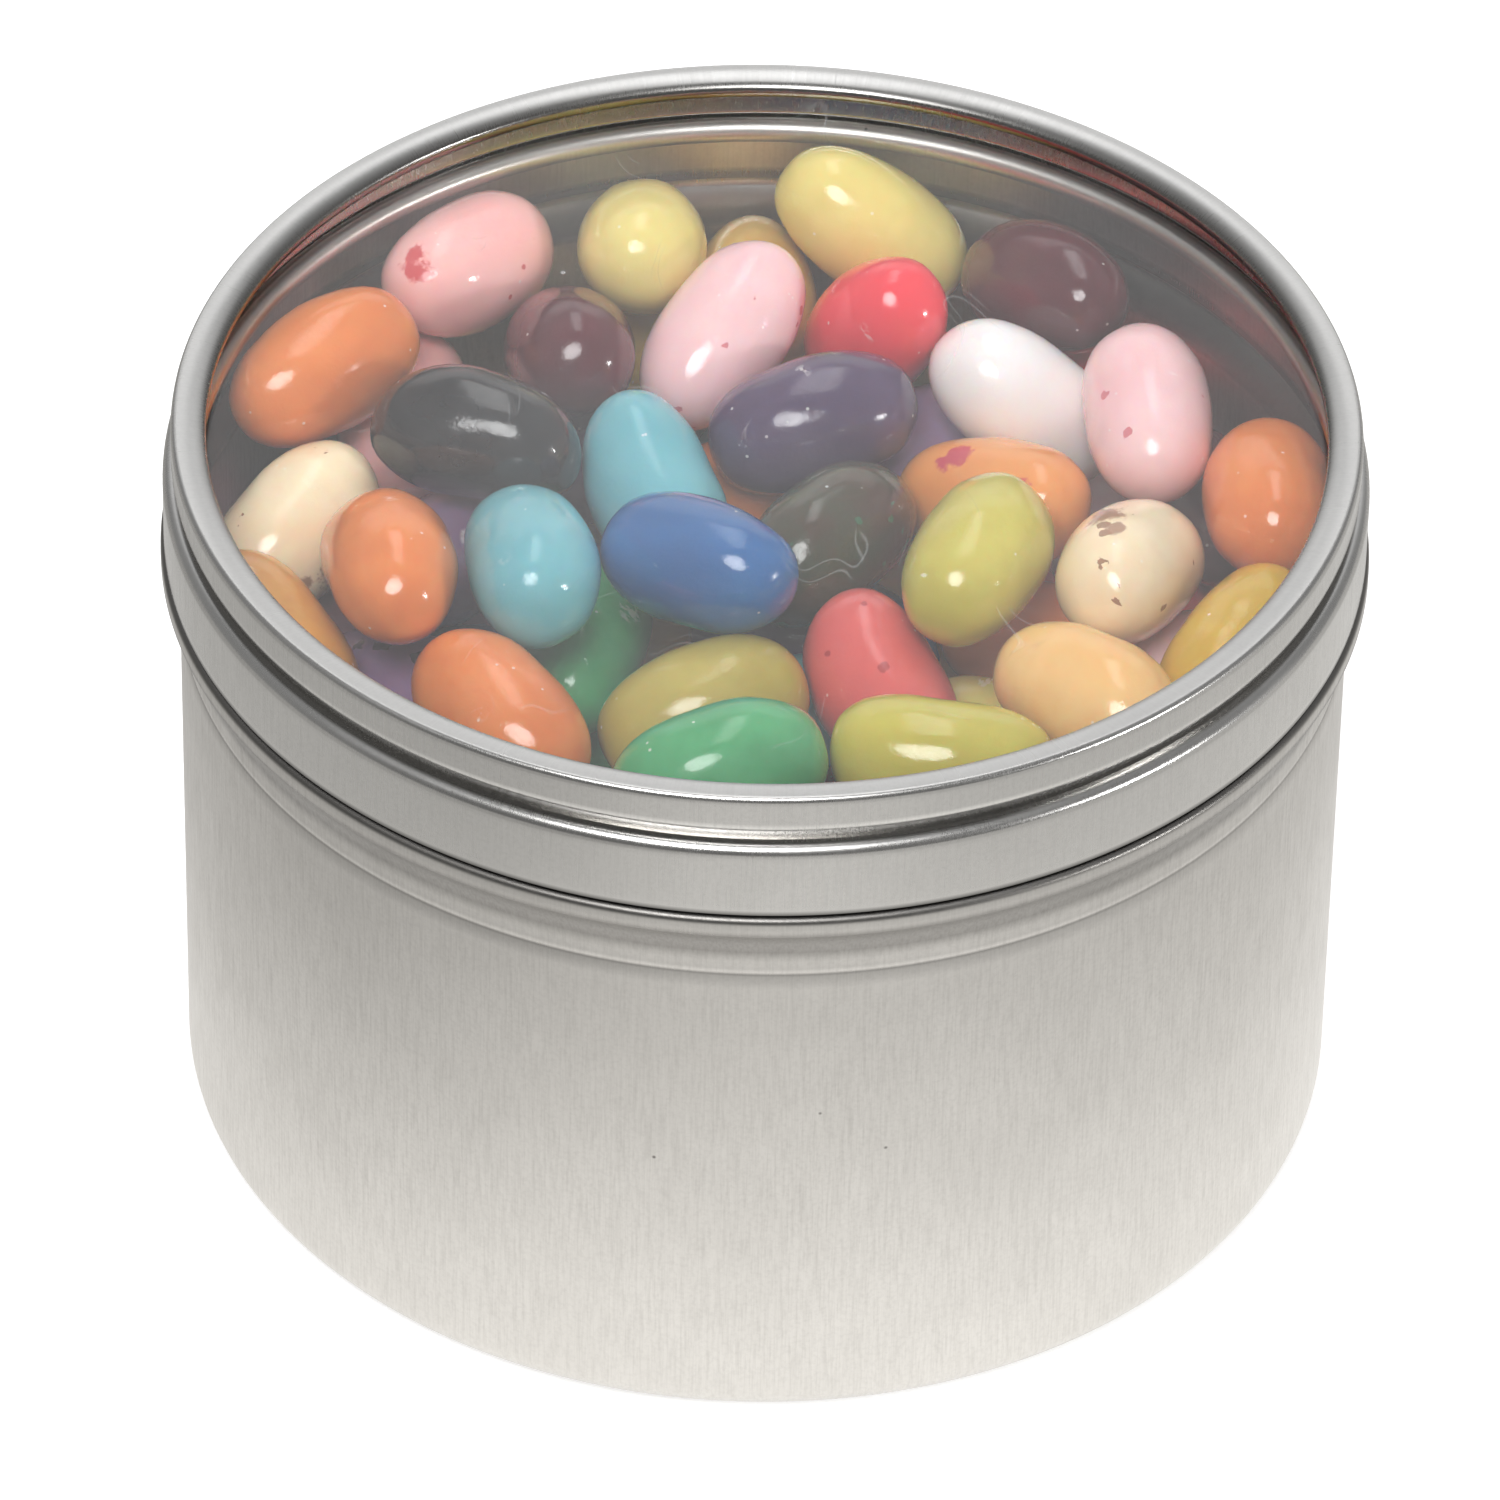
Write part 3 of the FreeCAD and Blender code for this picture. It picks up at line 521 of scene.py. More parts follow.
# Shell colours by name: the main shade, the shade of its clouds, and how much the clouds show
SHELLS = {
    "olive": (paint(208, 170, 52), paint(182, 140, 34), 0.5),
    "lime": (paint(204, 194, 88), paint(182, 168, 62), 0.5),
    "orange": (paint(231, 138, 71), paint(210, 108, 46), 0.5),
    "violet": (paint(84, 66, 98), paint(62, 46, 76), 0.6),
    "lilac": (paint(206, 150, 166), paint(184, 118, 140), 0.5),
    "speckled_purple": (paint(150, 120, 156), paint(120, 92, 130), 0.5),
    "coral": (paint(222, 102, 98), paint(204, 82, 80), 0.4),
    "green": (paint(82, 174, 116), paint(50, 144, 84), 0.5),
    "pale_blue": (paint(116, 184, 194), paint(90, 164, 178), 0.4),
    "pale_pink": (paint(248, 206, 208), paint(238, 184, 190), 0.5),
    "pale_yellow": (paint(236, 220, 134), paint(218, 196, 102), 0.5),
    "red": (paint(242, 62, 78), paint(222, 40, 58), 0.4),
    "maroon": (paint(98, 30, 44), paint(66, 16, 28), 0.6),
    "amber": (paint(226, 188, 98), paint(204, 156, 66), 0.6),
    "pink": (paint(255, 192, 188), paint(248, 170, 168), 0.4),
    "white": (paint(250, 246, 246), paint(238, 228, 226), 0.5),
    "cream": (paint(250, 230, 196), paint(236, 206, 160), 0.5),
    "golden": (paint(214, 156, 74), paint(188, 122, 44), 0.6),
    "black": (paint(26, 24, 28), paint(16, 14, 18), 0.6),
    "spotted_orange": (paint(238, 160, 84), paint(222, 134, 60), 0.5),
    "dark_green": (paint(62, 70, 50), paint(82, 54, 46), 0.9),
    "blue": (paint(44, 106, 166), paint(32, 84, 144), 0.5),
    "lemon": (paint(190, 173, 84), paint(172, 152, 62), 0.6),
    "peach": (paint(246, 202, 132), paint(236, 178, 102), 0.5),
}

# Blotched shells: the blotch's colour, its size, how much it covers, its raggedness and its patches
FRECKLES = {
    "pink": (paint(222, 96, 100), 900.0, 0.05, 0.5, 90.0),
    "cream": (paint(150, 100, 62), 900.0, 0.14, 0.6, 120.0),
    "spotted_orange": (paint(188, 40, 78), 800.0, 0.1, 0.55, 110.0),
    "golden": (paint(162, 62, 34), 700.0, 0.1, 0.5, 110.0),
    "speckled_purple": (paint(44, 30, 48), 640.0, 0.75, 0.6, 160.0),
    "dark_green": (paint(58, 104, 74), 820.0, 0.55, 0.7, 150.0),
    "lilac": (paint(214, 60, 90), 700.0, 0.22, 0.5, 130.0),
    "pale_pink": (paint(214, 120, 130), 900.0, 0.05, 0.5, 110.0),
    "coral": (paint(178, 60, 64), 900.0, 0.08, 0.5, 140.0),
}

# Stains: their colour, then for each its bean from the left, share along, degrees round and half width
STAINS = {
    "pink": (paint(206, 44, 56), (
        (1, -0.9, 30, 0.0016), (1, -0.8, 48, 0.0011), (1, 0.1, -28, 0.0003), (1, 0.34, -10, 0.00025),
        (1, -0.1, -50, 0.0003))),
    "spotted_orange": (paint(196, 36, 84), (
        (0, -0.18, 38, 0.0015), (0, -0.3, 30, 0.0008), (0, 0.58, 12, 0.0012), (0, -0.66, -22, 0.0007),
        (0, -0.5, -45, 0.0006))),
    "cream": (paint(160, 112, 78), (
        (0, -0.1, -62, 0.0017), (0, -0.4, -48, 0.0008), (0, 0.2, -70, 0.0012), (1, -0.2, 66, 0.0016),
        (1, -0.45, 48, 0.0009), (1, 0.3, 74, 0.0012))),
    "golden": (paint(166, 50, 36), ((0, 0.3, 20, 0.0005), (0, -0.2, 50, 0.0006), (0, 0.1, -30, 0.0004))),
}

# How a stain keeps to its bean's narrowing ends, how torn its edge is and where its full colour starts
STAIN_SIZE, STAIN_NOISE = 900.0, (4.0, 0.65)
STAIN_TAPER = 0.8
STAIN_TEAR = 1.9
STAIN_CORE = 0.55

# How the clouds, freckles and stains colour a shell, and the wear and the darker clouds of the lower beans
SHELL_CLOUD_BAND = (0.3, 0.72)
SHELL_MOTTLE_BAND, SHELL_MOTTLE_SHARE = (0.4, 0.8), 0.5
FRECKLE_SHADE = 0.9
STAIN_SHADE = 0.88
SHOWN_WEAR, BED_WEAR = 0.5, 0.4
BED_CLOUD_TINT, BED_CLOUD_DEPTH = (0.72, 0.66, 0.64, 1), 0.6


def stain_mask(weave, beans, places):
    """Where single stains lie on a node's beans, ragged at the edge and broken inside."""
    place = weave.add("ShaderNodeTexCoord").outputs["Object"]
    viewer = Vector((0, -math.cos(CAMERA_RISE), math.sin(CAMERA_RISE)))
    torn = weave.noise(place, STAIN_SIZE, *STAIN_NOISE)
    mask = None
    for number, along, turn, half in places:
        middle, axis, half_length, half_width = beans[number]
        axis = Vector(axis) if axis[0] > 0 else -Vector(axis)
        facing = (viewer - axis * viewer.dot(axis)).normalized()
        above = facing.cross(axis)
        angle = math.radians(turn)
        narrowing = math.sqrt(1 - along ** 2 * STAIN_TAPER)
        out = (facing * math.cos(angle) + above * math.sin(angle)) * half_width * narrowing
        spot = Vector(middle) + axis * along * half_length + out
        distance = weave.add("ShaderNodeVectorMath", {0: place, 1: spot}, operation="DISTANCE")
        apart = distance.outputs["Value"]
        edge = weave.math("MULTIPLY_ADD", weave.math("SUBTRACT", torn, 0.5), half * STAIN_TEAR, apart)
        here = weave.range(edge, half, half * STAIN_CORE)
        mask = here if mask is None else weave.math("MAXIMUM", mask, here)
    return mask


def sugar_shell(name, shade, clouds, depth, beans):
    """A polished sugar shell: clouded colour, blotches where it has them, scuffs, pips and a gloss."""
    weave, shader, material = new_material(name + "_shell")
    cloud = place_group(weave, SHELL_CLOUDS)
    wear = place_group(weave, SHELL_WEAR, amount=SHOWN_WEAR)
    tone = weave.mix(weave.range(cloud["Clouds"], *SHELL_CLOUD_BAND, 0.0, depth), shade, clouds)
    mottle = weave.range(cloud["Mottle"], *SHELL_MOTTLE_BAND, 0.0, depth * SHELL_MOTTLE_SHARE)
    tone = weave.mix(mottle, tone, clouds)
    if name in FRECKLES:
        stain, size, cover, ragged, patch = FRECKLES[name]
        spots = place_group(weave, SHELL_FRECKLES, size=size, cover=cover, ragged=ragged, patch=patch)
        tone = weave.mix(weave.math("MULTIPLY", spots["Mask"], FRECKLE_SHADE), tone, stain)
    if name in STAINS:
        stain, places = STAINS[name]
        mask = stain_mask(weave, beans, places)
        tone = weave.mix(weave.math("MULTIPLY", mask, STAIN_SHADE), tone, stain)
    finish_shell(weave, shader, tone, cloud, wear)
    return material


def mixed_shell():
    """The shells of the lower beans: each bean has its own colour, clouded and scuffed as the rest."""
    weave, shader, material = new_material("mixed_shell")
    cloud = place_group(weave, SHELL_CLOUDS)
    wear = place_group(weave, SHELL_WEAR, amount=BED_WEAR)
    own = weave.add("ShaderNodeAttribute", attribute_name="shell_colour").outputs["Color"]
    deep = weave.mix(1.0, own, BED_CLOUD_TINT, "MULTIPLY")
    tone = weave.mix(weave.range(cloud["Clouds"], *SHELL_CLOUD_BAND, 0.0, BED_CLOUD_DEPTH), own, deep)
    finish_shell(weave, shader, tone, cloud, wear)
    return material


# The shells' finish: scuffs and sugar pips, gloss, coat, fine relief in metres and depth of colour
SCUFF_SHADE, SCUFF_TONE = 0.45, paint(244, 240, 236)
PIP_SHADE, PIP_TONE = 0.5, paint(250, 248, 244)
SHELL_GLOSS_BAND, SHELL_SMOOTH, SHELL_ROUGH = (0.3, 0.75), 0.1, 0.2
SCUFF_ROUGHNESS = 0.2
COAT_BAND, COAT_LEAST, COAT_MOST, COAT_BLUR = (0.3, 0.7), 0.2, 0.4, 0.05
GRAIN_HEIGHT, MOTTLE_HEIGHT, PIP_HEIGHT = 0.7, 0.35, 0.4
SHELL_BUMP, SHELL_RELIEF = 0.26, 0.0001
GLOW_SHARE, GLOW_DEPTH = 0.42, 0.0026


def finish_shell(weave, shader, tone, cloud, wear):
    """Scuffs, pips, gloss and the fine unevenness that every shell has."""
    tone = weave.mix(weave.math("MULTIPLY", wear["Scuffs"], SCUFF_SHADE), tone, SCUFF_TONE)
    tone = weave.mix(weave.math("MULTIPLY", wear["Pips"], PIP_SHADE), tone, PIP_TONE)
    weave.put(shader.inputs["Base Color"], tone)
    gloss = weave.range(cloud["Mottle"], *SHELL_GLOSS_BAND, SHELL_SMOOTH, SHELL_ROUGH)
    gloss = weave.math("MULTIPLY_ADD", wear["Scuffs"], SCUFF_ROUGHNESS, gloss)
    weave.put(shader.inputs["Roughness"], gloss)
    coat = weave.range(cloud["Clouds"], *COAT_BAND, COAT_LEAST, COAT_MOST)
    weave.put(shader.inputs["Coat Weight"], coat)
    height = weave.math("MULTIPLY", cloud["Mottle"], MOTTLE_HEIGHT)
    height = weave.math("MULTIPLY_ADD", cloud["Grain"], GRAIN_HEIGHT, height)
    height = weave.math("MULTIPLY_ADD", wear["Pips"], PIP_HEIGHT, height)
    bump = weave.add("ShaderNodeBump", {"Height": height, "Strength": SHELL_BUMP, "Distance": SHELL_RELIEF})
    weave.put(shader.inputs["Normal"], bump.outputs[0])
    set_plain(shader, Coat_Roughness=COAT_BLUR, Subsurface_Weight=GLOW_SHARE, Subsurface_Scale=GLOW_DEPTH)


# Turned pieces


def merged_copy(node):
    """A bmesh of a node's solid with its loose triangles joined."""
    mesh = bmesh.new()
    mesh.from_mesh(nodes[node].data)
    bmesh.ops.remove_doubles(mesh, verts=mesh.verts, dist=ONE_POINT)
    return mesh


def section(node):
    """The outline of a turned node as points of radius and height, in order, and whether it is closed."""
    mesh = merged_copy(node)
    # The first cut leaves a point on the axis, where the outline of the second can end
    for across in ((1, 0, 0), (0, 1, 0)):
        everything = mesh.verts[:] + mesh.edges[:] + mesh.faces[:]
        cut = bmesh.ops.bisect_plane(
            mesh, geom=everything, dist=ONE_POINT, plane_co=(0, 0, 0), plane_no=across)
    edges = [item for item in cut["geom_cut"] if isinstance(item, bmesh.types.BMEdge)]
    edges = [edge for edge in edges if all(vert.co.x > -ONE_POINT for vert in edge.verts)]
    beside = {}
    for edge in edges:
        first, second = edge.verts
        beside.setdefault(first, []).append(second)
        beside.setdefault(second, []).append(first)
    ends = [vert for vert, others in beside.items() if len(others) == 1]
    start = min(ends or beside, key=lambda vert: vert.co.z)
    path = [start]
    ahead = beside[start][0]
    while ahead is not start:
        path.append(ahead)
        onward = [vert for vert in beside[ahead] if vert is not path[-2]]
        if not onward:
            break
        ahead = onward[0]
    points = [(max(vert.co.x, 0.0), vert.co.z) for vert in path]
    mesh.free()
    return points, not ends


def without_straight_points(points, closed):
    """The outline with the points dropped that lie on a straight stretch between their neighbours."""
    kept = []
    for number, point in enumerate(points):
        if not closed and number in (0, len(points) - 1):
            kept.append(point)
            continue
        before = Vector(points[number - 1])
        after = Vector(points[(number + 1) % len(points)])
        along = after - before
        offset = Vector(point) - before
        if abs(along.cross(offset)) > HAIR * along.length:
            kept.append(point)
    return kept


def scored(points, height):
    """The outline with a fine groove scored into its outer wall at a height."""
    scored_points = []
    for number, point in enumerate(points):
        if number:
            before = points[number - 1]
            low, high = sorted((before[1], point[1]))
            upright = abs(point[0] - before[0]) < ONE_POINT
            spans = low < height - SCORE_WIDTH and high > height + SCORE_WIDTH
            outer = point[1] > before[1]
            if upright and spans and outer:
                edge, floor = point[0], point[0] - SCORE_DEPTH
                scored_points.extend([
                    (edge, height - SCORE_WIDTH), (floor, height - SCORE_WIDTH / 4),
                    (floor, height + SCORE_WIDTH / 4), (edge, height + SCORE_WIDTH)])
        scored_points.append(point)
    return scored_points


def divided(points, closed, longest, fine_from=0.0):
    """The outline with its long stretches divided, so that shading and wear have points to lie on. A
    stretch that starts below the height fine_from is plain, and is divided half as finely."""
    made = []
    count = len(points)
    for number in range(count):
        point = Vector(points[number])
        made.append(tuple(point))
        if number == count - 1 and not closed:
            break
        onward = Vector(points[(number + 1) % count])
        plain = min(point.y, onward.y) < fine_from
        parts = math.ceil((onward - point).length / (longest * 2 if plain else longest))
        made.extend(tuple(point.lerp(onward, part / parts)) for part in range(1, parts))
    return made


def turned_piece(name, points, closed, material, painted_shade_of):
    """A piece turned from an outline, smooth but for its sharp edges, with what its finish reads."""
    mesh = bmesh.new()
    steps = [2 * math.pi * step / TURNED_STEPS for step in range(TURNED_STEPS)]
    rings = []
    for radius, height in points:
        if radius < ON_AXIS:
            rings.append([mesh.verts.new((0, 0, height))] * TURNED_STEPS)
        else:
            places = [(radius * math.cos(a), radius * math.sin(a), height) for a in steps]
            rings.append([mesh.verts.new(place) for place in places])
    pairs = list(zip(rings, rings[1:]))
    if closed:
        pairs.append((rings[-1], rings[0]))
    for ring, after in pairs:
        for step in range(TURNED_STEPS):
            following = (step + 1) % TURNED_STEPS
            corners = [ring[step], ring[following], after[following], after[step]]
            mesh.faces.new(list(dict.fromkeys(corners)))
    bmesh.ops.recalc_face_normals(mesh, faces=mesh.faces)
    data = bpy.data.meshes.new(name)
    mesh.to_mesh(data)
    mesh.free()
    data.polygons.foreach_set("use_smooth", [True] * len(data.polygons))
    data.set_sharp_from_angle(angle=SHARP_ANGLE)
    data.materials.append(material)
    piece = bpy.data.objects.new(name, data)
    scene.collection.objects.link(piece)
    note_finish(data, painted_shade_of)
    return piece


def note_finish(data, painted_shade_of):
    """Write what the tinplate reads: how sharply the sheet bends at a point, how flat it lies and how much
    painted shade it gets."""
    count = len(data.vertices)
    places = np.zeros(count * 3)
    data.vertices.foreach_get("co", places)
    places = places.reshape(-1, 3)
    # Painted shade for the gaps, creases and hollows, as the piece's own function gives it
    painted_shade = data.attributes.new("painted_shade", "FLOAT", "POINT")
    painted_shade.data.foreach_set("value", painted_shade_of(np.hypot(places[:, 0], places[:, 1]), places[:, 2]))
    normals = np.zeros(count * 3)
    data.vertices.foreach_get("normal", normals)
    normals = normals.reshape(-1, 3)
    ends = np.zeros(len(data.edges) * 2, int)
    data.edges.foreach_get("vertices", ends)
    ends = ends.reshape(-1, 2)
    turn = np.arccos(np.clip((normals[ends[:, 0]] * normals[ends[:, 1]]).sum(1), -1, 1))
    most = np.zeros(count)
    np.maximum.at(most, ends[:, 0], turn)
    np.maximum.at(most, ends[:, 1], turn)
    rub = data.attributes.new("edge_rub", "FLOAT", "POINT")
    rub.data.foreach_set("value", np.clip(most / FULL_RUB_TURN, 0, 1))
    flat = data.attributes.new("lies_flat", "FLOAT", "POINT")
    flat.data.foreach_set("value", np.clip(np.abs(normals[:, 2]) * FLAT_GAIN - FLAT_START, 0, 1))


def between(values, low, high):
    """How far values lie from low to high, from 0 to 1."""
    return np.clip((values - low) / (high - low), 0, 1)


def tin_painted_shade(radius, height):
    """Painted shade on the flare under the bead, in the scored line and at the seat of the lid."""
    outside = radius > TIN_HIGH.x - FLARE_WIDTH
    flare = between(height, LID_FOOT - FLARE_DROP, LID_FOOT - FLARE_MIDDLE_DROP)
    flare = np.where(height < LID_FOOT - BEAD_DROP + HAIR, flare, 0) * outside
    score = np.abs(height - LID_FOOT + SCORE_DROP) < SCORE_WIDTH / 2
    seat = between(height, LID_FOOT - SEAT_DROP, LID_FOOT - SEAT_DROP + SEAT_BAND)
    seat = seat * (1 - between(height, LID_FOOT, LID_FOOT + SEAT_BAND)) * outside
    painted_shade = np.maximum(flare * FLARE_PAINTED_SHADE, seat * SEAT_PAINTED_SHADE)
    return np.maximum(painted_shade, score * outside * SCORE_PAINTED_SHADE)


def lid_painted_shade(radius, height):
    """Painted shade at the foot of the skirt, in the waist under the crown and on the inside of the roll.
    """
    foot = 1 - between(height, LID_LOW.z, LID_LOW.z + SEAT_BAND)
    inner = radius < LID_HIGH.x - ROLL_WIDTH
    inner = inner * (1 - between(height, LID_HIGH.z - ROLL_DROP, LID_HIGH.z - ROLL_EDGE_DROP))
    waist = (radius < LID_HIGH.x - WAIST_WIDTH) * (height > LID_HIGH.z - WAIST_LOW_DROP)
    waist = waist * (height < LID_HIGH.z - WAIST_HIGH_DROP + SEAT_BAND)
    return np.maximum(np.maximum(foot * FOOT_PAINTED_SHADE, waist * WAIST_PAINTED_SHADE), inner * ROLL_PAINTED_SHADE)


def rounded_rim(points):
    """The lid's outline with its rolled rim sloped inward from its crest, as the brushed roll shows it."""
    top = LID_HIGH.z - HAIR
    crest = [number for number, point in enumerate(points) if point[1] > top]
    inner = min(crest, key=lambda number: points[number][0])
    outer = max(crest, key=lambda number: points[number][0])
    onward = 1 if outer > inner else -1
    while points[outer + onward][0] > points[outer][0] + NUDGE:
        outer += onward
    while points[inner - onward][0] < points[inner][0] - NUDGE:
        inner -= onward
    middle = LID_HIGH.x - CREST_INSET
    rim = []
    for end, sign in ((inner, -1), (outer, 1)):
        side, low = points[end]
        turns = [math.pi / 2 * step / RIM_STEPS for step in range(RIM_STEPS + 1)]
        half = [(middle + (side - middle) * math.cos(turn) ** (2 / RIM_POWER),
                 low + (LID_HIGH.z - low) * math.sin(turn) ** (2 / RIM_POWER)) for turn in turns]
        rim.extend(half if sign < 0 else half[-2::-1])
    first, last = min(inner, outer), max(inner, outer)
    if inner > outer:
        rim.reverse()
    return points[:first] + rim + points[last + 1:]


def eased_shoulder(points):
    """The lid's outline with its shoulder rounded as fully as the pressed sheet shows it."""
    top = LID_HIGH.z - SHOULDER_DROP
    old = Vector((LID_HIGH.x - SHOULDER_ROUND, top - SHOULDER_ROUND))
    numbers = [number for number, point in enumerate(points)
               if point[0] > old.x - HAIR and old.y - HAIR < point[1] < top + HAIR
               and (Vector(point) - old).length > SHOULDER_ROUND * SHOULDER_REACH]
    centre = Vector((LID_HIGH.x - FULL_ROUND, top - FULL_ROUND))
    turns = [math.pi / 2 * step / ROUND_STEPS for step in range(ROUND_STEPS + 1)]
    arc = [(centre.x + FULL_ROUND * math.cos(turn), centre.y + FULL_ROUND * math.sin(turn))
           for turn in turns]
    first, last = min(numbers), max(numbers)
    if points[first][1] > points[last][1]:
        arc.reverse()
    return points[:first] + arc + points[last + 1:]


def make_tin_body(material):
    """The tin, with a line scored round its wall."""
    points, closed = section("tin_body")
    points = without_straight_points(points, closed)
    points = scored(points, LID_FOOT - SCORE_DROP)
    points = divided(points, closed, TIN_STEP, LID_FOOT - SCORE_DROP - SCORE_WIDTH)
    return turned_piece("tin_shell", points, closed, material, tin_painted_shade)


def make_lid_ring(material):
    """The lid's ring, with its shoulder and rolled rim as the photograph shows them."""
    points, closed = section("lid_ring")
    points = without_straight_points(points, closed)
    points = divided(rounded_rim(eased_shoulder(points)), closed, LID_STEP)
    return turned_piece("lid_shell", points, closed, material, lid_painted_shade)


def make_lid_window(material):
    """The clear disc, with its cut edge broken by a fine chamfer."""
    chamfer = (PANE_HIGH.z - PANE_LOW.z) * PANE_CHAMFER_SHARE
    radius = PANE_HIGH.x
    points = [(0, PANE_LOW.z), (radius - chamfer, PANE_LOW.z), (radius, PANE_LOW.z + chamfer),
              (radius, PANE_HIGH.z - chamfer), (radius - chamfer, PANE_HIGH.z), (0, PANE_HIGH.z)]
    return turned_piece("lid_pane", points, False, material, lambda radius, height: radius * 0)


# Beans


def sorting_tree():
    """Joins a node's loose triangles and writes on each point the number of the solid it is on."""
    weave, inlet, outlet = new_group(
        "sort solids", [("Geometry", "Geometry", None), ("Reach", "Float", ONE_POINT)],
        [("Geometry", "Geometry")], "GeometryNodeTree")
    joined = weave.add("GeometryNodeMergeByDistance", {
        "Geometry": inlet["Geometry"], "Distance": inlet["Reach"]})
    island = weave.add("GeometryNodeInputMeshIsland").outputs["Island Index"]
    written = weave.add("GeometryNodeStoreNamedAttribute", {
        "Geometry": joined.outputs[0], "Name": "solid", "Value": island}, data_type="INT", domain="POINT")
    weave.put(outlet["Geometry"], written.outputs[0])
    return weave.tree


def evaluated(data, tree, values, name):
    """The plain mesh that a tree of geometry nodes makes of a mesh, with its inputs set by name."""
    carrier = bpy.data.objects.new(name, data)
    scene.collection.objects.link(carrier)
    modifier = carrier.modifiers.new("maker", "NODES")
    modifier.node_group = tree
    for item in tree.interface.items_tree:
        if item.in_out == "INPUT" and item.name in values:
            modifier[item.identifier] = values[item.name]
    graph = bpy.context.evaluated_depsgraph_get()
    made = bpy.data.meshes.new_from_object(carrier.evaluated_get(graph), depsgraph=graph)
    bpy.data.objects.remove(carrier)
    return made


def beans_of(node, tree):
    """Each bean of a node as its centre, its axis and its half length and half width."""
    data = evaluated(nodes[node].data.copy(), tree, {}, "sorting")
    places = np.zeros(len(data.vertices) * 3)
    data.vertices.foreach_get("co", places)
    places = places.reshape(-1, 3)
    numbers = np.zeros(len(data.vertices), int)
    data.attributes["solid"].data.foreach_get("value", numbers)
    found = []
    for number in range(numbers.max() + 1):
        points = places[numbers == number]
        middle = points.mean(0)
        axis = np.linalg.eigh(np.cov((points - middle).T))[1][:, -1]
        along = (points - middle) @ axis
        across = np.linalg.norm(points - middle - np.outer(along, axis), axis=1)
        middle = middle + axis * (along.max() + along.min()) / 2
        found.append((middle, axis, (along.max() - along.min()) / 2, across.max()))
    return sorted(found, key=lambda bean: tuple(round(value, SORT_DIGITS) for value in bean[0][:2]))


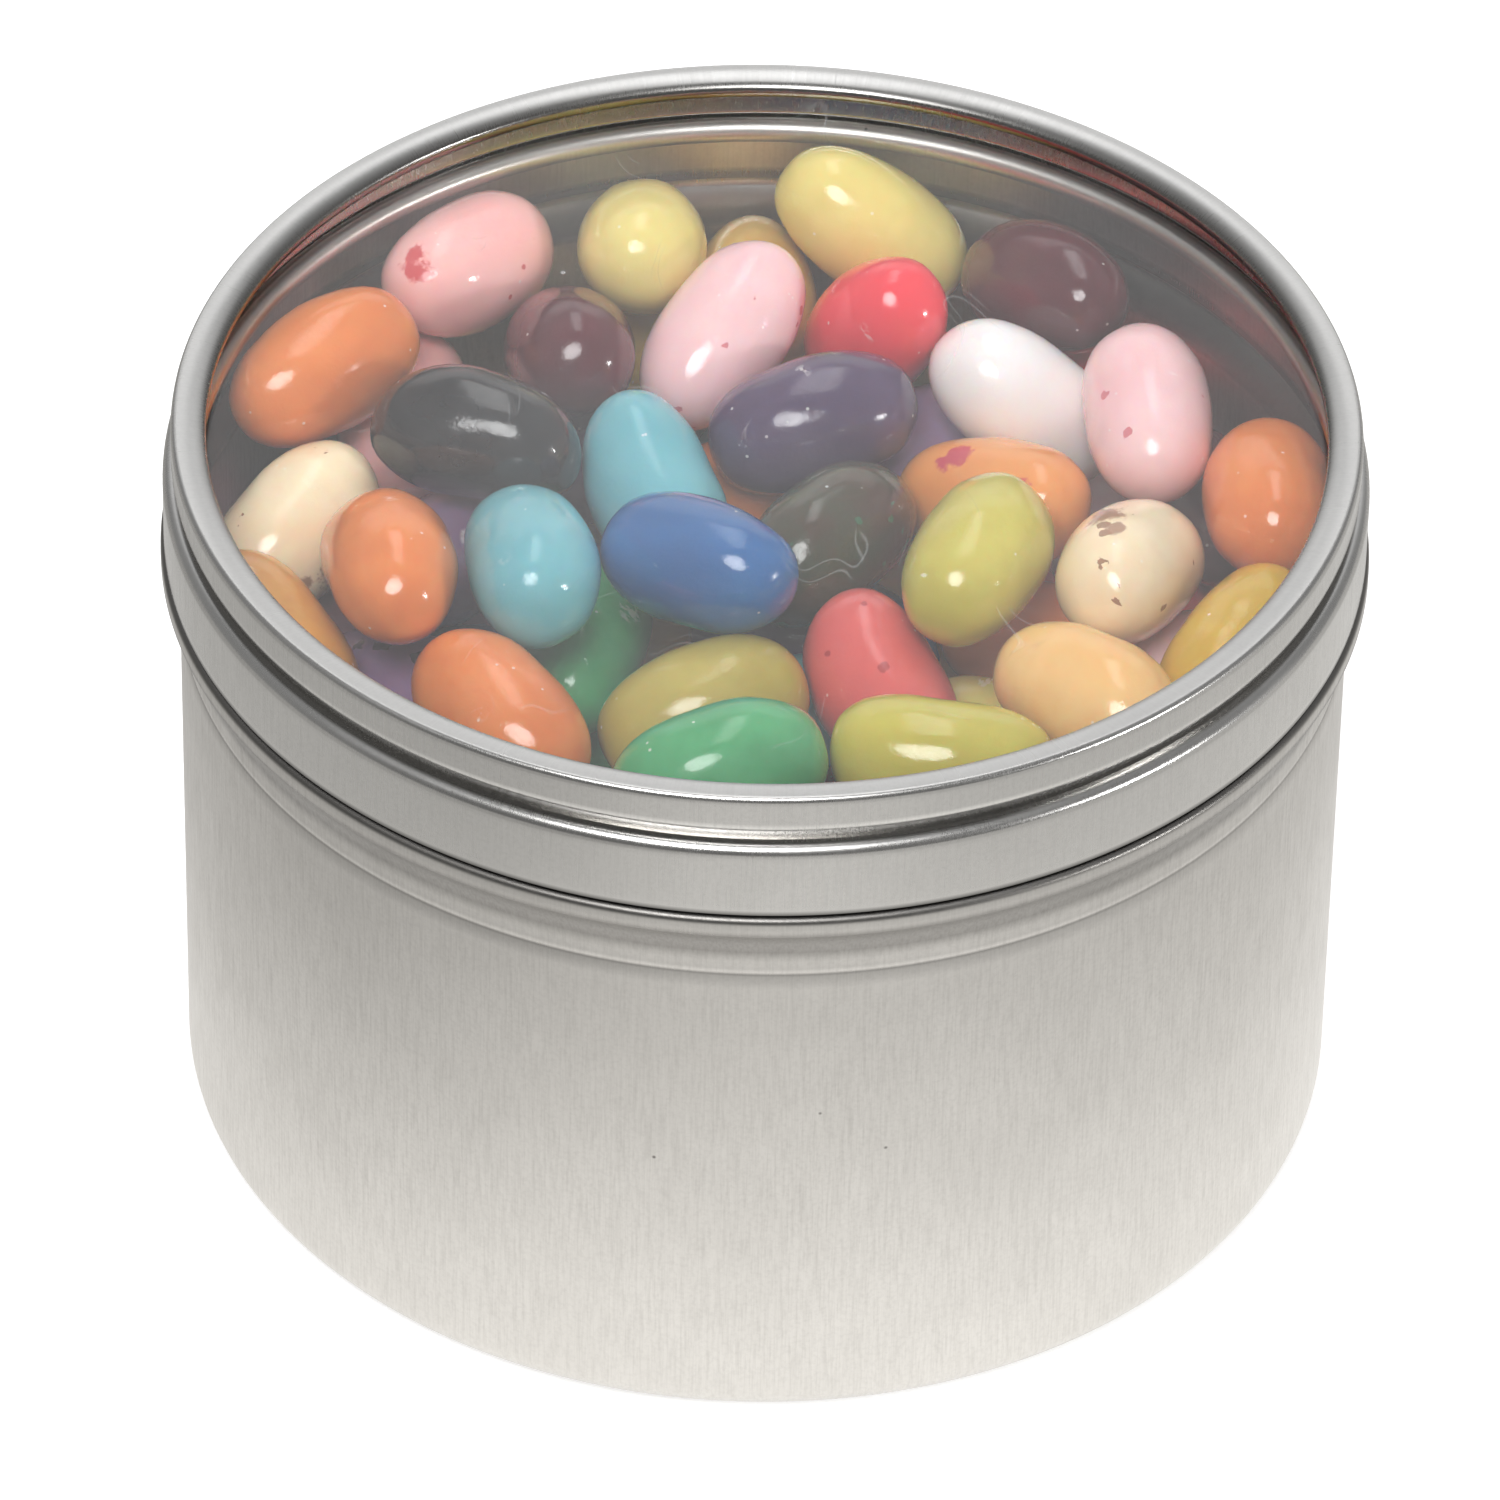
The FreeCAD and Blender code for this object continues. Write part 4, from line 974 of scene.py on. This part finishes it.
def bean_tree():
    """Makes a bean at each point: a rounded barrel, bent a little, dented and fuller at one end."""
    weave, inlet, outlet = new_group("lay beans", [
        ("Geometry", "Geometry", None), ("Half length", "Float", 0.008), ("Half width", "Float", 0.005),
        ("Barrel power", "Float", BARREL_POWER), ("Kidney bend", "Float", KIDNEY_BEND),
        ("End taper", "Float", END_TAPER_SHARE), ("Dent depth", "Float", DENT_DEPTH),
        ("Dent size", "Float", DENT_SIZE), ("Splits", "Int", SHOWN_BEAN_SPLITS),
        ("Shell", "Material", None),
    ], [("Geometry", "Geometry")], "GeometryNodeTree")
    ball = weave.add("GeometryNodeMeshIcoSphere", {"Radius": 1.0, "Subdivisions": inlet["Splits"]})
    kept = weave.add("GeometryNodeStoreNamedAttribute", {
        "Geometry": ball.outputs["Mesh"], "Name": "ball",
        "Value": weave.add("GeometryNodeInputPosition").outputs[0]},
        data_type="FLOAT_VECTOR", domain="POINT")
    laid = weave.add("GeometryNodeInstanceOnPoints", {
        "Points": inlet["Geometry"], "Instance": kept.outputs[0]})
    real = weave.add("GeometryNodeRealizeInstances", {0: laid.outputs[0]})

    def named(name, kind):
        """What a point has been given under a name."""
        return weave.add("GeometryNodeInputNamedAttribute", {"Name": name}, data_type=kind).outputs[0]

    way = named("ball", "FLOAT_VECTOR")
    seed = named("bean_seed", "FLOAT")
    parts = weave.add("ShaderNodeSeparateXYZ", {0: way}).outputs
    round_part = weave.math("SQRT", weave.math("ADD", weave.math("POWER", parts[1], 2.0),
                                               weave.math("POWER", parts[2], 2.0)))
    power = inlet["Barrel power"]
    total = weave.math("ADD", weave.math("POWER", weave.math("ABSOLUTE", parts[0]), power),
                       weave.math("POWER", round_part, power))
    fill = weave.math("POWER", total, weave.math("DIVIDE", -1.0, power))
    lot = weave.math("SINE", weave.math("MULTIPLY", seed, TAPER_LOT))
    lean = weave.math("MULTIPLY", inlet["End taper"], lot)
    wide = weave.math("MULTIPLY", inlet["Half width"], weave.math("MULTIPLY_ADD", parts[0], lean, 1.0))
    stretch = weave.add("ShaderNodeCombineXYZ", {
        0: weave.math("MULTIPLY", inlet["Half length"], fill), 1: weave.math("MULTIPLY", wide, fill),
        2: weave.math("MULTIPLY", wide, fill)}).outputs[0]
    plain = weave.vector("MULTIPLY", way, stretch)
    far = weave.math("POWER", weave.math("ABSOLUTE", parts[0]), 2.0)
    bend = weave.math("MULTIPLY", inlet["Kidney bend"], weave.math("SUBTRACT", BEND_MIDDLE, far))
    lot = weave.math("SINE", weave.math("MULTIPLY", seed, BEND_LOT))
    bend = weave.math("MULTIPLY", bend, weave.math("MULTIPLY_ADD", lot, BEND_SWAY, BEND_LEAST))
    bent = weave.vector("ADD", plain, weave.add("ShaderNodeCombineXYZ", {2: bend}).outputs[0])
    shift = weave.scaled(SEED_SHIFT, seed)
    own = weave.vector("ADD", bent, shift)
    lumps = weave.noise(own, weave.math("DIVIDE", 1.0, inlet["Dent size"]), *DENT_NOISE)
    depth = weave.math("MULTIPLY", inlet["Dent depth"], 2.0)
    swell = weave.math("MULTIPLY", weave.math("SUBTRACT", lumps, DENT_MIDDLE), depth)
    shaped = weave.vector("ADD", bent, weave.scaled(way, swell))
    turn = weave.add("FunctionNodeEulerToRotation", {0: named("bean_turn", "FLOAT_VECTOR")}).outputs[0]
    turned = weave.add("FunctionNodeRotateVector", {"Vector": shaped, "Rotation": turn}).outputs[0]
    centre = weave.vector("SUBTRACT", weave.add("GeometryNodeInputPosition").outputs[0], way)
    written = weave.add("GeometryNodeStoreNamedAttribute", {
        "Geometry": real.outputs[0], "Name": "shell_place",
        "Value": weave.vector("ADD", plain, shift)}, data_type="FLOAT_VECTOR", domain="POINT")
    moved = weave.add("GeometryNodeSetPosition", {
        "Geometry": written.outputs[0], "Position": weave.vector("ADD", centre, turned)})
    smooth = weave.add("GeometryNodeSetShadeSmooth", {0: moved.outputs[0]})
    clad = weave.add("GeometryNodeSetMaterial", {0: smooth.outputs[0], "Material": inlet["Shell"]})
    weave.put(outlet["Geometry"], clad.outputs[0])
    return weave.tree


def bean_points(beans, lots, colours=None):
    """A mesh of points, one for each bean, with how it is turned, its own seed and its colour."""
    data = bpy.data.meshes.new("bean points")
    data.from_pydata([bean[0] for bean in beans], [], [])
    turns = []
    for bean in beans:
        along = Vector((1, 0, 0)).rotation_difference(Vector(bean[1]))
        roll = Matrix.Rotation(lots.uniform(0, 2 * math.pi), 3, "X")
        turns.extend((along.to_matrix() @ roll).to_euler())
    data.attributes.new("bean_turn", "FLOAT_VECTOR", "POINT").data.foreach_set("vector", turns)
    seeds = [lots.uniform(0, 1) for bean in beans]
    data.attributes.new("bean_seed", "FLOAT", "POINT").data.foreach_set("value", seeds)
    if colours:
        own = [level for bean in beans for level in lots.choice(colours)]
        data.attributes.new("shell_colour", "FLOAT_COLOR", "POINT").data.foreach_set("color", own)
    return data


def make_beans(node, beans, shell, splits, layer, lots, colours=None):
    """The beans of a node as one piece with their shell."""
    half_length = sum(bean[2] for bean in beans) / len(beans)
    half_width = sum(bean[3] for bean in beans) / len(beans)
    points = bean_points(beans, lots, colours)
    data = evaluated(points, layer, {
        "Half length": half_length * SLIM_SHARE, "Half width": half_width * SLIM_SHARE,
        "Barrel power": BARREL_POWER, "Kidney bend": KIDNEY_BEND, "End taper": END_TAPER_SHARE,
        "Dent depth": DENT_DEPTH, "Dent size": DENT_SIZE, "Splits": splits, "Shell": shell}, "laying")
    piece = bpy.data.objects.new(node + "_shells", data)
    scene.collection.objects.link(piece)
    return piece


# Studio


def make_camera():
    """The camera at the photograph's angle."""
    back = Vector((0, -math.cos(CAMERA_RISE), math.sin(CAMERA_RISE)))
    right = Vector((1, 0, 0))
    up = back.cross(right)
    across = right * math.cos(CAMERA_ROLL) + up * math.sin(CAMERA_ROLL)
    upward = up * math.cos(CAMERA_ROLL) - right * math.sin(CAMERA_ROLL)
    data = bpy.data.cameras.new("camera")
    data.sensor_width = SENSOR_WIDTH
    data.lens = PHOTO_FOCUS / PHOTO_SIDE * SENSOR_WIDTH
    data.clip_start = NEAREST_SEEN
    data.clip_end = FARTHEST_SEEN
    camera = bpy.data.objects.new("camera", data)
    turn = Matrix((across, upward, back)).transposed().to_4x4()
    camera.matrix_world = Matrix.Translation(CAMERA_AIM + back * CAMERA_REACH) @ turn
    scene.collection.objects.link(camera)
    scene.camera = camera


def make_lamp(name, azimuth, rise, reach, side, power, mirrored=True):
    """A round soft lamp that looks at the tin from an azimuth, 0 in front, and a rise in degrees. Not
    mirrored, it gives light without showing in the gloss."""
    data = bpy.data.lights.new(name, "AREA")
    data.shape = "DISK"
    data.size = side
    data.energy = power
    lamp = bpy.data.objects.new(name, data)
    turn, lift = math.radians(azimuth), math.radians(rise)
    away = Vector((math.sin(turn) * math.cos(lift), -math.cos(turn) * math.cos(lift), math.sin(lift)))
    middle = Vector((0, 0, TIN_HIGH.z / 2))
    facing = away.to_track_quat("Z", "Y").to_matrix().to_4x4()
    lamp.matrix_world = Matrix.Translation(middle + away * reach) @ facing
    lamp.visible_glossy = mirrored
    scene.collection.objects.link(lamp)


def make_floor():
    """A plain pale floor that keeps the shadow and shows white to the camera and, in the metal, a painted
    glow: a near-white pool of light that dims outward and to the sides.
    """
    mesh = bmesh.new()
    bmesh.ops.create_circle(mesh, cap_ends=True, segments=FLOOR_CORNERS, radius=FLOOR_RADIUS)
    data = bpy.data.meshes.new("floor")
    mesh.to_mesh(data)
    mesh.free()
    weave, shader, material = new_material("pale floor")
    place = weave.add("ShaderNodeTexCoord").outputs["Object"]
    grain = weave.noise(place, FLOOR_GRAIN_SIZE, 2.0, 0.5)
    weave.put(shader.inputs["Base Color"], weave.mix(grain, paint(240, 240, 240), paint(246, 246, 246)))
    set_plain(shader, Roughness=0.9, Specular_IOR_Level=0.0)
    path = weave.add("ShaderNodeLightPath").outputs
    white = weave.add("ShaderNodeEmission", {"Color": (1, 1, 1, 1)})
    weave.put(white.inputs["Strength"], weave.math("MULTIPLY", path["Is Camera Ray"], FLOOR_GLOW))
    seen = weave.add("ShaderNodeAddShader", {0: shader.outputs[0], 1: white.outputs[0]})
    reach = weave.add("ShaderNodeVectorMath", {0: place}, operation="LENGTH").outputs["Value"]
    # Painted glow: to glossy rays the floor shows a pool of light, brightest near the tin's foot, that dims
    # outward and to the sides
    pool = weave.add("ShaderNodeEmission", {"Color": (1, 0.99, 0.97, 1)})
    near = weave.range(reach, TIN_HIGH.x, TIN_HIGH.x * POOL_SPREAD, POOL_NEAR_LEVEL, POOL_FAR_LEVEL)
    aside = weave.add("ShaderNodeSeparateXYZ", {0: place}).outputs[0]
    left = weave.range(aside, *POOL_LEFT, *POOL_LEFT_LEVELS)
    right = weave.range(aside, *POOL_RIGHT, *POOL_RIGHT_LEVELS)
    foot = weave.range(reach, TIN_HIGH.x, TIN_HIGH.x * POOL_FOOT_SPREAD, POOL_FOOT_GAIN, 1.0)
    sideways = weave.math("MULTIPLY", left, right)
    strength = weave.math("MULTIPLY", near, weave.math("MULTIPLY", sideways, foot))
    weave.put(pool.inputs["Strength"], strength)
    both = weave.add("ShaderNodeMixShader", {
        0: path["Is Glossy Ray"], 1: seen.outputs[0], 2: pool.outputs[0]})
    weave.put(material.node_tree.nodes["Material Output"].inputs["Surface"], both.outputs[0])
    data.materials.append(material)
    floor = bpy.data.objects.new("floor", data)
    scene.collection.objects.link(floor)


def make_world():
    """White surroundings: a plain level on the object, white to the camera, and in the metal a white
    backdrop behind that ends in a darker ceiling with one bright strip."""
    world = bpy.data.worlds.new("studio")
    world.use_nodes = True
    scene.world = world
    weave = Weave(world.node_tree)
    way = weave.add("ShaderNodeTexCoord").outputs["Generated"]
    parts = weave.add("ShaderNodeSeparateXYZ", {0: way}).outputs
    level_way = weave.vector("NORMALIZE", weave.vector("MULTIPLY", way, (1, 1, 0)))
    behind = weave.add("ShaderNodeSeparateXYZ", {0: level_way}).outputs[1]
    backdrop = weave.math(
        "MULTIPLY", weave.range(parts[2], *BACKDROP_TOP), weave.range(behind, *BACKDROP_SIDES))
    sides = weave.range(behind, *SIDE_BAND, SIDE_FRONT_LEVEL, SIDE_BACK_LEVEL)
    across = weave.math("ABSOLUTE", parts[0])
    strip = weave.range(across, STRIP_EDGE, STRIP_CORE, 0.0, STRIP_LEVEL)
    strip = weave.math("MULTIPLY", strip, weave.range(parts[2], STRIP_LOW, STRIP_LOW + STRIP_FADE))
    strip = weave.math("MULTIPLY", strip, weave.range(parts[1], 0.0, STRIP_FADE))
    shown = weave.math("MAXIMUM", weave.math("MAXIMUM", backdrop, sides), strip)
    path = weave.add("ShaderNodeLightPath").outputs
    mirrored = weave.math("MAXIMUM", path["Is Glossy Ray"], path["Is Transmission Ray"])
    level = weave.add("ShaderNodeMix", {0: mirrored, 2: ROOM_LEVEL, 3: shown}).outputs[0]
    level = weave.add("ShaderNodeMix", {0: path["Is Camera Ray"], 2: level, 3: 1.0}).outputs[0]
    background = world.node_tree.nodes["Background"]
    background.inputs["Color"].default_value = (1, 1, 1, 1)
    weave.put(background.inputs["Strength"], level)


def dress():
    """Make every piece, seat it on its body and hide the frame's node that it stands for."""
    tin_finish = tinplate(
        "tin_plate", light=paint(224, 221, 216), dark=paint(218, 215, 210), deep=paint(188, 185, 180),
        smooth=0.3, rough=0.46, brushed_share=0.5)
    lid_finish = tinplate(
        "lid_plate", light=paint(234, 232, 228), dark=paint(228, 226, 222), deep=paint(204, 202, 198),
        smooth=0.2, rough=0.3, brushed_share=0.12)
    pieces = [
        (make_tin_body(tin_finish), "tin", "tin_body", "tinplate"),
        (make_lid_ring(lid_finish), "lid", "lid_ring", "lid_tinplate"),
        (make_lid_window(clear_plastic()), "lid", "lid_window", "window_plastic"),
    ]
    lots = random.Random(BEAN_SEED)
    sorter = sorting_tree()
    layer = bean_tree()
    for name, (shade, clouds, depth) in SHELLS.items():
        node = name + "_beans"
        beans = beans_of(node, sorter)
        shell = sugar_shell(name, shade, clouds, depth, beans)
        piece = make_beans(node, beans, shell, SHOWN_BEAN_SPLITS, layer, lots)
        pieces.append((piece, "tin", node, name + "_shell"))
    colours = [row[0] for row in SHELLS.values()]
    beans = beans_of("bean_bed", sorter)
    bed = make_beans("bean_bed", beans, mixed_shell(), BED_BEAN_SPLITS, layer, lots, colours)
    pieces.append((bed, "tin", "bean_bed", "mixed_shell"))
    for piece, body, node, slot in pieces:
        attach(piece, body)
        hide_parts(node)


scene.view_settings.view_transform = "Standard"
dress()
make_floor()
make_world()
make_lamp("key softbox", azimuth=-12, rise=56, reach=1.1, side=0.52, power=7.0)
make_lamp("side lamp", azimuth=66, rise=16, reach=0.9, side=0.09, power=1.6)
make_lamp("top softbox", azimuth=180, rise=66, reach=1.2, side=0.86, power=4.4, mirrored=False)
make_camera()
